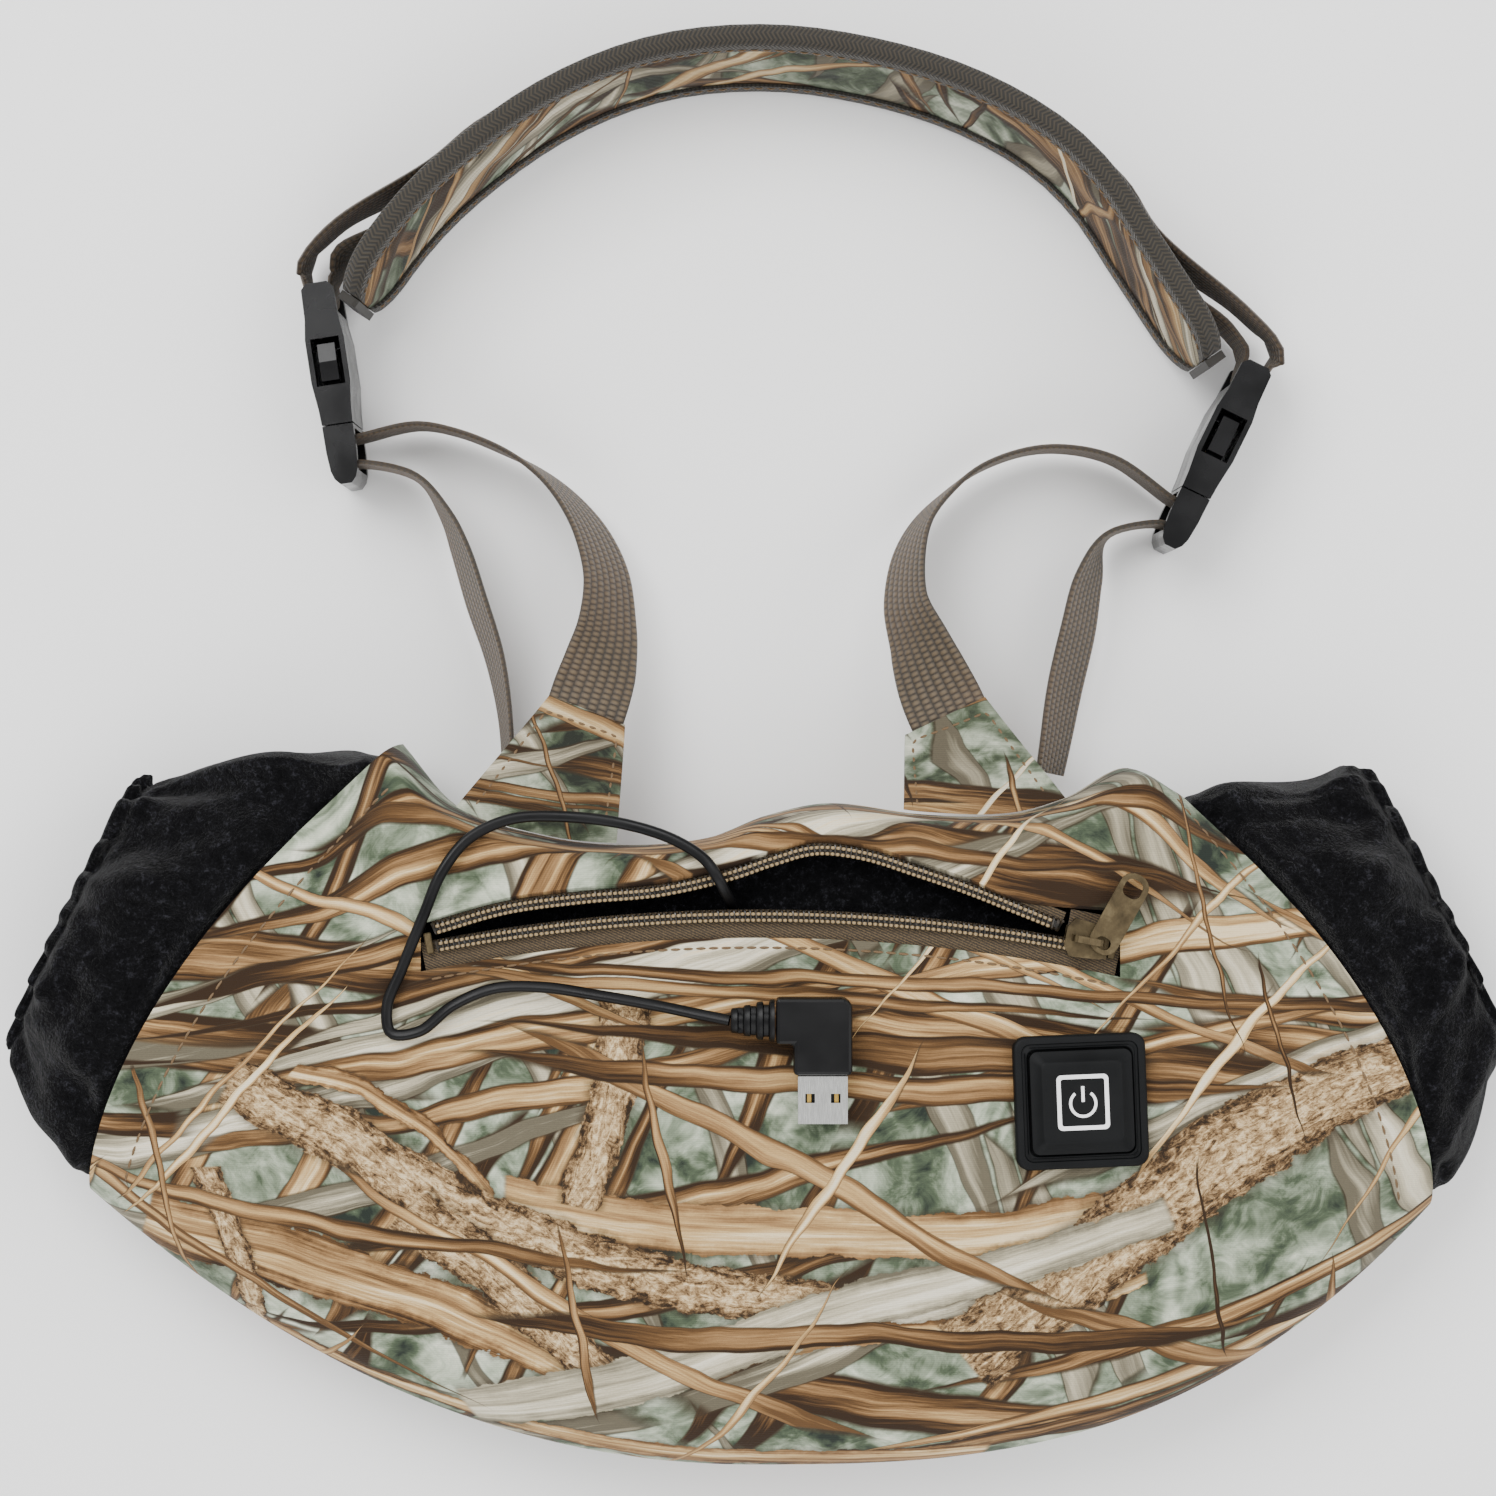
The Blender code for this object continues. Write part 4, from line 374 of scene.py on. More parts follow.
LOOKS = {
    "camouflage_cloth": camouflage("camouflage", limbs=LIMBS),
    "camouflage_small": camouflage("camouflage_tab", 0.8, (40.0, 90.0, 0.0)),
    "camouflage_belt": camouflage("camouflage_belt", 0.8, (20.0, -60.0, 30.0)),
    "black_fleece": fleece("fleece"),
    "olive_webbing": webbing("webbing"),
    "olive_binding": herringbone("binding", "0e0b06", "2f281c"),
    "dark_binding": herringbone("binding_dark", "0b0905", "262016"),
    "black_acetal": moulded("acetal", "020203", 0.25, shine=0.25),
    "zip_tape": tape("tape"),
    "zip_coil": nylon("coil", "120e09", "332a1e"),
    "coil_core": nylon("coil_core", "0e0b08", "1d1812", 0.6),
    "aged_brass": aged_brass("brass"),
    "black_silicone": moulded("silicone", "040506", 0.5, 5.0, 0.25, 0.14),
    "black_rubber": moulded("rubber", "020203", 0.36, 4.0, 0.15, 0.2),
    "plated_steel": plated("steel"),
    "gold_contact": plated("gold", "d9b35f"),
    "circuit_board": moulded("board", "13512a", 0.45),
    "wadding": thread("wadding", "e6e4de"),
    "heating_sheet": moulded("heater", "16161a", 0.5),
    "elastic": thread("elastic", "0c0c0d"),
    "foam": moulded("foam", "3a3a3a", 0.85),
    "thread": thread("thread", "6b5233"),
    # painted highlight: the pale beads on the zip coils' top loops
    "pale_highlight": thread("pale_highlight", "a08a66"),
    "print": moulded("print", "e9e9ea", 0.5),
}

# ------------------------------------------------------------------ measures, millimetres
CLEARANCE = 0.35  # between touching pieces

# ---- muff body, millimetres ----
MUFF_HEIGHT = 56.0  # thickness at the middle, lying down
MUFF_END_DROP = 12.0  # how much thinner it is at the hand openings
MUFF_ROUNDNESS = 2.5  # superellipse power of its cross-section
FLAT_BACK = 1.04  # the back is pressed flat where the section would pass this share
TOP_CENTRE, TOP_HALF = 9.0, 96.0  # top edge, along X
BOTTOM_CENTRE, BOTTOM_HALF = 3.0, 168.0  # bottom fold, along X
TOP_EDGE = [(-1, 1), (-0.86, -14.3), (-0.63, -22), (-0.42, -24.3), (-0.2, -22.5), (-0.05, -17),
            (0.12, -13.8), (0.36, -16.6), (0.58, -16.8), (0.74, -12.4), (0.89, -5), (1, -10)]
BOTTOM_Y = -179.0
BOTTOM_RISE = ((68.0, 2.1), (64.0, 2.8))  # rise and power, to the left and to the right
MOUTH_BOW = 14.5  # how far the slanted hand openings bow outwards
SHELL = 1.2
WADDING_END = 0.95
LINING_OUTER, LINING_CHANGE_FRONT, LINING_CHANGE_BACK = 13.6, 6.2, 5.3
LINING = 1.4
LINING_END = 0.985

# ---- zip ----
ZIP_Z = 50.0  # upper face of the tapes
ZIP_CENTRE = (2.25, -461.0)  # both coils close on an arc about this point
ZIP_RADIUS = 420.0
ZIP_ENDS = (-80.0, 91.0)
TAPE_THICK, TAPE_WIDTH, TAPE_SHOWN = 0.6, 11.0, 5.4
COIL_WIDTH, COIL_HEIGHT = 3.4, 1.9
SLIDER_X = 82.4
SLIDER_LENGTH = 10.6
UPPER_COIL = [(-77.0, -44.3), (-59.0, -39.2), (-40.0, -36.6), (-21.5, -34.9), (-4.0, -30.9),
              (6.0, -27.5), (16.5, -24.8), (28.5, -26.1), (41.0, -30.0), (53.5, -34.3),
              (66.0, -39.3), (75.6, -43.4)]
LIP_EDGE = 2.6  # from the upper coil's middle to the cloth's edge

# ---- cuffs ----
CUFF_TUCK, CUFF_THICK = 1.75, 2.2
CUFF_RIM_CENTRE, CUFF_RIM_HALF, CUFF_RIM_HIGH = (172.5, -40.5, 20.5), 37.0, 17.0
CUFF_RIM_ANGLE = math.radians(64)  # of the rim from +X, on the left
CUFF_BULGE = 7.0

# ---- webbing, tabs and belt ----
WEBBING, WEBBING_THICK = 20.0, 1.3
BELT_TALL, BELT_THICK = 40.0, 3.4
BELT_LEAN = 0.14  # outward per millimetre of height, about the belt's middle
BELT_LINE = [(-98.5, 112.5), (-88.5, 127.5), (-74.5, 142.5), (-49.0, 161.0), (-23.5, 171.3),
             (3.5, 174.2), (29.5, 171.1), (54.3, 163.6), (75.0, 152.1), (87.5, 140.0),
             (97.5, 125.0), (107.7, 109.5), (115.5, 97.5)]
BELT_END_RADIUS, BELT_END_TALL = 14.0, 12.0
BELT_WALL = 0.8
BINDING_DEEP, BINDING_WALL = 6.0, 0.7

# ---- buckles, for the webbing above ----
BUCKLE_WIDE = WEBBING + 7.0
FEMALE_LONG = 36.0
BUCKLES = {"left": ((-103.0, 81.2), (0.15, -0.9887)), "right": ((112.4, 64.0), (-0.44, -0.898))}

# ---- power switch ----
SWITCH_AT, SWITCH_TURN = (80.8, -86.0), math.radians(2.0)
SWITCH_SIZE, SWITCH_BASE_THICK, SWITCH_CORNER = 32.5, 2.8, 3.2
KEY_FOOT, KEY_TOP, KEY_TALL = 25.0, 19.5, 4.6
KEY_TRAVEL = 0.6
BOARD_THICK = 1.0

# ---- USB lead ----
CABLE_DIAMETER = 2.8
# The lead's route, from the grommet in the pocket to the plug's strain relief
CABLE_ROUTE = [(22, -72, 47.0), (16, -66, 45.8), (8, -59.5, 44.8), (1.5, -52, 44.8),
               (-2.4, -44.5, 45.0), (-3.8, -39.4, 46.4), (-4.4, -37.4, 49.6), (-5.4, -35.4, 53.2),
               (-7.2, -31.8, 55.4), (-10.5, -27.2, 55), (-18, -22.4, 54), (-30, -18.6, 52.4),
               (-45, -16.8, 51.2), (-58, -17.4, 51.6), (-68, -22, 53), (-74.5, -30, 54.2),
               (-79, -40.5, 54), (-84.5, -54, 53.6), (-88, -63, 53.8), (-87, -69.5, 54.2),
               (-80, -69, 54.8), (-72, -62.8, 55.6), (-62, -58.6, 55.8), (-50, -58.2, 56.2),
               (-36, -60.2, 57), (-22, -62.6, 57.8), (-12, -64.6, 59), (-4.5, -66, 60.4)]

# ------------------------------------------------------------------ shape functions, millimetres

def smooth(t):
    t = min(1.0, max(0.0, t))
    return t * t * (3 - 2 * t)


def mix(a, b, t):
    return a + (b - a) * t


def walk(points):
    """How far along its line each point lies."""
    walked = [0.0]
    for a, b in zip(points, points[1:]):
        walked.append(walked[-1] + (b - a).length)
    return walked


def place_on(walked, want):
    """The point before a distance along a line, and the share of the way to the next one."""
    k = max(n for n in range(len(walked) - 1) if n == 0 or walked[n] <= want)
    return k, (want - walked[k]) / max(1e-9, walked[k + 1] - walked[k])


def way_at(line, k, ahead=1):
    """The direction of a line of points at one of them."""
    return (line[min(len(line) - 1, k + ahead)] - line[max(0, k - 1)]).normalized()


def along_points(points, x):
    """The height of a smooth curve through points whose first values grow, at x."""
    k = min(len(points) - 2, max(0, sum(1 for p in points[1:-1] if p[0] < x)))
    a, b = points[k], points[k + 1]
    before, after = points[max(0, k - 1)], points[min(len(points) - 1, k + 2)]
    run = b[0] - a[0]
    t = (x - a[0]) / run
    t2, t3 = t * t, t * t * t
    return ((2 * t3 - 3 * t2 + 1) * a[1] + (3 * t2 - 2 * t3) * b[1]
            + (t3 - 2 * t2 + t) * run * (b[1] - before[1]) / (b[0] - before[0])
            + (t3 - t2) * run * (after[1] - a[1]) / (after[0] - a[0]))


def curve_through(points, step):
    """Points about step apart on a smooth curve through the given ones."""
    knots = [Vector(p) for p in points]
    fine = []
    for k, (a, b) in enumerate(zip(knots, knots[1:])):
        before = knots[k - 1] if k else a * 2 - b
        after = knots[k + 2] if k + 2 < len(knots) else b * 2 - a
        first, chord, last = [max(1e-6, (q - p).length) ** 0.5
                              for p, q in ((before, a), (a, b), (b, after))]
        out = ((a - before) / first - (b - before) / (first + chord) + (b - a) / chord) * chord
        into = ((b - a) / chord - (after - a) / (chord + last) + (after - b) / last) * chord
        for n in range(16):
            t = n / 16
            fine.append(a * (2 * t**3 - 3 * t**2 + 1) + out * (t**3 - 2 * t**2 + t)
                        + b * (3 * t**2 - 2 * t**3) + into * (t**3 - t**2))
    fine.append(knots[-1])
    lengths = walk(fine)
    count = max(2, round(lengths[-1] / step))
    found, k = [], 0
    for n in range(count + 1):
        want = lengths[-1] * n / count
        while k < len(fine) - 2 and lengths[k + 1] < want:
            k += 1
        share = (want - lengths[k]) / max(1e-9, lengths[k + 1] - lengths[k])
        found.append(fine[k].lerp(fine[k + 1], min(1.0, share)))
    return found


def rounded_rectangle(half_x, half_y, radius, steps):
    return [(sx * (half_x - radius) + radius * math.cos(math.pi / 2 * (k + n / steps)),
             sy * (half_y - radius) + radius * math.sin(math.pi / 2 * (k + n / steps)))
            for k, (sx, sy) in enumerate(((1, 1), (-1, 1), (-1, -1), (1, -1)))
            for n in range(steps + 1)]


def muff_height(s):
    return MUFF_HEIGHT - MUFF_END_DROP * abs(s) ** 3


def top_y(s):
    return along_points(TOP_EDGE, s)


def bottom_y(s):
    rise, power = BOTTOM_RISE[0] if s < 0 else BOTTOM_RISE[1]
    return BOTTOM_Y + rise * abs(s) ** power


def plan(s, w):
    """Where the point at share w from the top edge to the bottom fold lies in plan."""
    x = mix(TOP_CENTRE + TOP_HALF * s, BOTTOM_CENTRE + BOTTOM_HALF * s, w)
    return x + MOUTH_BOW * s**3 * 4 * w * (1 - w), mix(top_y(s), bottom_y(s), w)


def find(x, y):
    """The s and w of a point in plan."""
    s, w = 0.0, 0.5
    for _ in range(60):
        w += ((mix(top_y(s), bottom_y(s), w)) - y) / (top_y(s) - bottom_y(s))
        w = min(1.0, max(0.0, w))
        s += (x - plan(s, w)[0]) / mix(TOP_HALF, BOTTOM_HALF, w) * 0.7
        s = min(1.0, max(-1.0, s))
    return s, w


def rise_at(w):
    """Height of the superellipse at share w, from 0 on the seam or fold to 1."""
    return max(0.0, 1 - abs(1 - 2 * w) ** MUFF_ROUNDNESS) ** (1 / MUFF_ROUNDNESS)


def zip_flatness(x, y, q):
    """1 where the front is held flat by the zip, fading to 0 around it."""
    dx = max(0.0, abs(x - (ZIP_ENDS[0] + ZIP_ENDS[1]) / 2) - (ZIP_ENDS[1] - ZIP_ENDS[0]) / 2 - 6)
    dy = max(0.0, -58.0 - y)
    return (1 - smooth(math.hypot(dx, dy) / 22)) * smooth(q / 0.45)


def skin(s, w, side, inset):
    """A point of the muff, inset millimetres under its outer face; side is 1 on the front and
    -1 on the back."""
    length = math.hypot(plan(s, 0)[0] - plan(s, 1)[0], top_y(s) - bottom_y(s))
    q = rise_at(w)
    x, y = plan(s, 0.5 + (w - 0.5) * (1 - 2 * inset / length))
    half = muff_height(s) / 2
    if side < 0:
        return Vector((x, y, max(half - (half - inset) * FLAT_BACK * q, inset)))
    flat = zip_flatness(x, y, q)
    return Vector((x, y, mix(half + (half - inset) * q, ZIP_Z + 1.55 - inset, flat)))


def skin_at(x, y, inset):
    """The front's point over a place in plan."""
    s, w = find(x, y)
    for _ in range(3):
        p = skin(s, w, 1, inset)
        s, w = find(2 * x - p.x, 2 * y - p.y) if inset else (s, w)
    return skin(s, w, 1, inset)


SEAM_W = 1.2e-6  # the first row beside the top seam, a hair from its middle
TOP_ROWS = (0.0, 0.03, 0.12, 0.32, 0.62, 1.0)
FRONT_ROWS = (0.0, 0.1, 0.22, 0.36, 0.5, 0.64, 0.76, 0.86, 0.93, 0.98, 0.9999)
LAYER_ROWS = (SEAM_W, 0.004, 0.015, 0.05, 0.12, 0.22, 0.34, 0.46, 0.58, 0.7, 0.8, 0.88, 0.935,
              0.97, 0.99, 0.9999)


def slot_edges(x):
    """Upper and lower edge of the zip's cut-out in the front cloth, at x."""
    upper = along_points([*UPPER_COIL[:-1], (ZIP_ENDS[1], -42.0)], x) + LIP_EDGE
    reach = ZIP_RADIUS - TAPE_SHOWN
    lower = ZIP_CENTRE[1] + math.sqrt(reach**2 - (x - ZIP_CENTRE[0]) ** 2)
    return upper, lower


def spread(low, high, count):
    return [mix(low, high, k / (count - 1)) for k in range(count)]


def rim_frame(side):
    """Middle of the cuff's rim and the way along it, from its upper to its lower end."""
    middle = Vector((side * CUFF_RIM_CENTRE[0] + 2, CUFF_RIM_CENTRE[1], CUFF_RIM_CENTRE[2]))
    return middle, Vector((side * math.cos(CUFF_RIM_ANGLE), -math.sin(CUFF_RIM_ANGLE), 0))


CUFF_SHARES = (0.0, 0.01, 0.05, 0.13, 0.25, 0.38, 0.5, 0.62, 0.75, 0.87, 0.95, 0.99)


def cuff_point(side, w, face, along, inset):
    """A point of the cuff: along runs from below 0, inside the mouth, over 0 at it, to 1 at the
    rim."""
    s = side * (1 + min(0.0, along) * 0.2)
    base = skin(s, w, face, SHELL + CUFF_TUCK + inset)
    if along <= 0:
        return base
    middle, way = rim_frame(side)
    turn = math.acos(max(-1.0, min(1.0, 1 - 2 * w)))
    rim = (middle + way * (-(CUFF_RIM_HALF - inset) * math.cos(turn))
           + Vector((0, 0, face * (CUFF_RIM_HIGH - inset) * math.sin(turn))))
    swell = CUFF_BULGE * math.sin(math.pi * min(1.0, along / 0.94)) * smooth(along / 0.1)
    out = Vector((0, 0, face * math.sin(turn) * 0.6)) - way * math.cos(turn) * 0.55
    spot = base.lerp(rim, smooth(along) * 0.6 + along * 0.4) + out * swell
    return Vector((spot.x, spot.y, max(spot.z, inset + 0.3)))


TABS = {"left": ((-72.0, -14.2), (-32.4, -23.6), (-49.7, 13.3), (-30.8, 5.8)),
        "right": ((38.4, -15.8), (78.2, -12.0), (39.4, 3.3), (59.4, 12.8))}
TAB_BASE_Z, TAB_END_Z = 44.0, 27.5
STRAPS = {
    "left": ([(-39.6, 12.6, 26.6, 4), (-37.0, 21.0, 25.2, 24), (-35.2, 31.2, 23.0, 45),
              (-35.6, 43.6, 20.4, 58), (-39.5, 54.5, 17.0, 68), (-46.2, 64.0, 14.6, 78),
              (-53.4, 70.4, 13.6, 85), (-62.0, 75.4, 13.5, 90), (-73.5, 80.0, 13.5, 90),
              (-84.0, 81.8, 13.5, 90)],
             [(-84.5, 69.0, 13.5, 88), (-77.0, 59.5, 13.4, 80), (-73.0, 50.0, 13.2, 74),
              (-69.0, 37.0, 12.8, 72), (-64.5, 23.0, 12.6, 74), (-61.8, 8.0, 12.5, 78),
              (-61.0, -6.0, 12.5, 80), (-60.8, -14.5, 12.5, 80)]),
    "right": ([(49.6, 9.9, 26.6, -4), (46.4, 17.0, 25.4, -22), (43.0, 26.0, 23.4, -42),
               (39.6, 37.4, 20.6, -60), (40.6, 49.0, 17.4, -70), (44.0, 57.4, 15.0, -80),
               (49.4, 63.6, 13.8, -86), (58.6, 70.9, 13.5, -90), (71.0, 75.4, 13.5, -90),
               (82.0, 75.8, 13.5, -90), (93.5, 72.8, 13.5, -90)],
              [(92.6, 54.8, 13.5, -88), (86.6, 42.8, 13.2, -66), (84.0, 30.0, 12.8, -60),
               (80.6, 15.0, 12.4, -60), (78.0, 0.0, 12.4, -64), (76.8, -6.5, 12.4, -66)])}


def buckle_place(name, p, r, z):
    """A point of a buckle: p along it from the seam between its halves, r across it towards +X
    on the left and towards -X on the right, z up."""
    (x, y), (dx, dy) = BUCKLES[name]
    inward = 1 if name == "left" else -1
    return Vector((x + dx * p - dy * r * inward, y + dy * p + dx * r * inward, z))


def stations_of(line):
    """The strip's stations along points that carry their turn as a fourth value."""
    found = []
    places = [Vector(p[:3]) for p in line]
    for k, here in enumerate(places):
        way = way_at(places, k)
        turn = math.radians(line[k][3])
        across = UP.cross(way).normalized() * math.cos(turn) + UP * math.sin(turn)
        across = (across - way * across.dot(way)).normalized()
        found.append((here, across, across.cross(way)))
    return found


BAR_HALF = (1.7, 1.3)  # the bars' half sizes along and across the buckle
SLOT_LONG = 3.6
MALE_BAR = 1.2 + SLOT_LONG + BAR_HALF[0]  # middle of the male half's bar
FEMALE_BAR = -FEMALE_LONG + 0.6 + BAR_HALF[0]  # middle of the female half's bar
BAR_ROOM = 0.75  # from a bar to the webbing's middle


def around_bar(name, turn):
    """The webbing's middle line round the male half's bar, entering from the inner side."""
    far = BAR_HALF[0] + BAR_ROOM + 0.75
    depth = BAR_HALF[1] + BAR_ROOM + 0.45
    points = [(-far, 3.6), (-far, 0.6), (-far + 0.5, -1.4), (-far + 1.7, -depth),
              (0, -depth - 0.15), (far - 1.7, -depth), (far - 0.5, -1.4), (far, 0.6), (far, 3.6)]
    return [(*buckle_place(name, MALE_BAR + p, r, BUCKLE_WIDE / 2), turn) for p, r in points]


def belt_frames():
    """Points along the belt's middle, with the way out and the distance to its end at each."""
    total = walk(curve_through([(x, y, 0) for x, y in BELT_LINE], 8))[-1]
    ends = [0.5, 2.0, 4.5, 8.0]
    places = sorted(ends + [total - e for e in ends]
                    + spread(BELT_END_RADIUS, total - BELT_END_RADIUS, 36) + [0.0, total])
    fine = curve_through([(x, y, 0) for x, y in BELT_LINE], 1)
    frames = []
    for place in places:
        k = min(len(fine) - 2, int(place / total * (len(fine) - 1)))
        share = place / total * (len(fine) - 1) - k
        frames.append((fine[k].lerp(fine[k + 1], share), UP.cross(way_at(fine, k, 2)),
                       min(place, total - place)))
    return frames


def belt_half(end_distance):
    """Half of the belt's height, less towards its rounded ends."""
    if end_distance >= BELT_END_RADIUS:
        return BELT_TALL / 2
    round_off = BELT_END_RADIUS**2 - (BELT_END_RADIUS - end_distance) ** 2
    low = BELT_END_TALL / 2
    return low + (BELT_TALL / 2 - low) * math.sqrt(max(0.0, round_off)) / BELT_END_RADIUS


def on_belt(place, out, r, z):
    """A point r millimetres out of the belt's middle, at height z."""
    return place + out * (r + BELT_LEAN * (z - BELT_TALL / 2)) + Vector((0, 0, z))


BELT_OUTER_RUN = {"left": [(-112.4, 121.5), (-110.6, 125.2), (-102.8, 132.6)],
                  "right": [(133.8, 98.6), (132.6, 102.6), (124.6, 110.6)]}
BELT_INNER_RUN = {"left": [(-103.6, 121.8), (-102.0, 125.6)],
                  "right": [(125.4, 101.0), (120.6, 106.4)]}
BELT_FACE = {"left": (19.0, 38.0), "right": (17.0, 34.0)}  # where each run meets the belt


def on_arc(radius, angle):
    """A point at a radius from the zip's centre; angle 0 looks along +Y, growing towards +X."""
    return (ZIP_CENTRE[0] + radius * math.sin(angle), ZIP_CENTRE[1] + radius * math.cos(angle))


def zip_angle(x):
    return math.asin((x - ZIP_CENTRE[0]) / ZIP_RADIUS)


def slider_edge(side):
    """Angle of the slider's end on one side."""
    return zip_angle(SLIDER_X) + side * (SLIDER_LENGTH / 2 + CLEARANCE) / ZIP_RADIUS


def switch_frame():
    """On the front cloth, with local Z out of it."""
    x, y = SWITCH_AT
    here = skin_at(x, y, 0)
    step = 6.0
    along = skin_at(x + step, y, 0) - skin_at(x - step, y, 0)
    up = skin_at(x, y + step, 0) - skin_at(x, y - step, 0)
    out = along.cross(up).normalized()
    right = (along - out * along.dot(out)).normalized()
    right = Matrix.Rotation(SWITCH_TURN, 3, out) @ right
    front = out.cross(right)
    rows = [[right[k], front[k], out[k], here[k]] for k in range(3)]
    return Matrix(rows + [[0, 0, 0, 1]])


# ------------------------------------------------------------------ making pieces


def shown(name, data):
    """A new object in the scene."""
    made = bpy.data.objects.new(name, data)
    bpy.context.scene.collection.objects.link(made)
    return made


def finish_mesh(name, mesh, look, body="muff", slot=None, replaces=(), smooth_angle=50):
    shell = bmesh.new()
    shell.from_mesh(mesh)
    bmesh.ops.recalc_face_normals(shell, faces=shell.faces)
    shell.to_mesh(mesh)
    shell.free()
    mesh.materials.append(LOOKS[look])
    mesh.shade_smooth()
    mesh.set_sharp_from_angle(angle=math.radians(smooth_angle))
    piece = shown(name, mesh)
    if body:
        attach(piece, body)
    if replaces:
        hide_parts(*replaces)
    return piece


def make_mesh(name, points, faces, look, marks=None, **settings):
    """A piece from points in millimetres; marks give each point its place across and along."""
    mesh = bpy.data.meshes.new(name)
    mesh.from_pydata([Vector(p) * MM for p in points], [], faces)
    if marks:
        layer = mesh.uv_layers.new(name="UVMap")
        for loop in mesh.loops:
            layer.data[loop.index].uv = marks[loop.vertex_index]
    return finish_mesh(name, mesh, look, **settings)


def make_sheet(name, outer, inner, look, keep=None, ring=False, marks=None, **settings):
    """The solid between two matching grids of points."""
    rows, columns = len(outer), len(outer[0])
    layer = rows * columns

    def corner(i, j, side):
        return side * layer + (i % rows) * columns + j

    cells = {(i, j) for i in range(rows if ring else rows - 1) for j in range(columns - 1)
             if keep is None or keep(i, j)}
    faces = []
    for i, j in sorted(cells):
        square = [(i, j), (i, j + 1), (i + 1, j + 1), (i + 1, j)]
        faces.append([corner(*c, 0) for c in square])
        faces.append([corner(*c, 1) for c in reversed(square)])
        above, below = ((i - 1) % rows if ring else i - 1), ((i + 1) % rows if ring else i + 1)
        for k, cell in enumerate([(above, j), (i, j + 1), (below, j), (i, j - 1)]):
            if cell not in cells:
                a, b = square[k], square[(k + 1) % 4]
                faces.append([corner(*b, 0), corner(*a, 0), corner(*a, 1), corner(*b, 1)])
    points = [p for grid in (outer, inner) for row in grid for p in row]
    flat = [m for row in marks for m in row] * 2 if marks else None
    used = sorted({k for face in faces for k in face})
    number = {old: new for new, old in enumerate(used)}
    return make_mesh(name, [points[k] for k in used], [[number[k] for k in f] for f in faces], look,
                     [flat[k] for k in used] if flat else None, **settings)


def swept(rings):
    """Points and faces of a capped tube through rings of points."""
    count, total = len(rings[0]), len(rings)
    faces = []
    for k in range(total - 1):
        for c in range(count):
            here, beside = count * k + c, count * k + (c + 1) % count
            faces.append([here, beside, beside + count, here + count])
    caps = [list(range(count))[::-1], list(range(count * (total - 1), count * total))]
    return [p for ring in rings for p in ring], faces + caps


def make_tube(name, path, radius, look, sides=10, lobes=0.0, **settings):
    """A tube along points; lobes gives it a section that bulges to both sides."""
    rings, across = [], None
    for k, here in enumerate(path):
        way = way_at(path, k)
        across = across or UP.cross(way)
        across = (across - way * across.dot(way)).normalized()
        up = way.cross(across)
        rings.append([here + (across * math.cos(turn) + up * math.sin(turn))
                      * radius * (1 - lobes * math.sin(turn) ** 4)
                      for turn in (math.tau * c / sides for c in range(sides))])
    return make_mesh(name, *swept(rings), look, **settings)


def many(name, parts, look, **settings):
    """One mesh of many small closed shapes; each part is its points and faces."""
    points, faces = [], []
    for found, sides in parts:
        base = len(points)
        points += found
        faces += [[base + k for k in side] for side in sides]
    return make_mesh(name, points, faces, look, **settings)


def stitch(a, b, out, radius=0.32, sink=0.12):
    """A short thread from a to b, arched a little and diving at both ends; the zip coils use the same shape
    for beads of painted highlight.
    """
    across = (b - a).cross(out).normalized()
    rings = []
    for k in range(6):
        t = k / 5
        middle = a.lerp(b, t) + out * (math.sin(math.pi * t) * radius * 0.9 - sink)
        size = radius * (0.45 + 0.55 * math.sin(math.pi * (0.12 + 0.76 * t)))
        rings.append([middle + across * math.cos(c) * size + out * math.sin(c) * size * 0.75
                      for c in (math.tau * n / 6 for n in range(6))])
    return swept(rings)


def stitches(line, outs, long, gap):
    """Threads along a line of points, each with the way out of the cloth there."""
    walked = walk(line)

    def at(want):
        k, t = place_on(walked, want)
        return line[k].lerp(line[k + 1], t), outs[k].lerp(outs[k + 1], t).normalized()

    found, place = [], gap
    while place + long < walked[-1]:
        (a, out), (b, _) = at(place), at(place + long)
        found.append(stitch(a, b, out))
        place += long + gap
    return found


def hum(x, y, z, size):
    """Smooth noise of about that wavelength in millimetres, from -1 to 1."""
    return noise.noise(Vector((x / size, y / size, z / size)))


# ------------------------------------------------------------------ camera and cord

WIDE = 385.57  # what the picture spans at the table, at 1 m
lens = bpy.data.cameras.new("camera")
lens.sensor_width = 36
lens.lens = 36 / (WIDE * MM)
camera = shown("camera", lens)
camera.location = (0, 0, 1)
bpy.context.scene.camera = camera

cord_path = curve_through(CABLE_ROUTE, 1.2)
cord = make_tube("lead", cord_path, CABLE_DIAMETER / 2, "black_rubber", 16, 0.24,
                 replaces=["usb_cable"], slot="black_rubber")

boot_rings = [(0.0, 2.2), (0.3, 2.5), (1.6, 2.6), (1.9, 1.9), (2.9, 1.9), (3.1, 2.8), (3.4, 3.1),
              (4.6, 3.2), (4.9, 2.2), (6.0, 2.2), (6.2, 3.5), (6.5, 3.8), (7.7, 3.9), (8.0, 2.5),
              (9.1, 2.5), (9.3, 3.9), (9.6, 4.25), (10.6, 4.3)]
boot_start = cord_path[-1] + Vector((CLEARANCE, 0, 0))
boot = []
for step, radius in boot_rings:
    boot.append([])
    for turn in (math.tau * c / 28 for c in range(28)):
        slit = 0.75 if 1.7 < step and radius < 2.6 and abs(math.sin(turn)) < 0.45 else 0.0
        boot[-1].append(boot_start + Vector((step, (radius + slit) * math.cos(turn) * 1.2,
                                             (radius + slit) * math.sin(turn) * 0.85)))
boot = make_mesh("lead_boot", *swept(boot), "black_rubber", replaces=["usb_boot"],
                 slot="black_rubber")

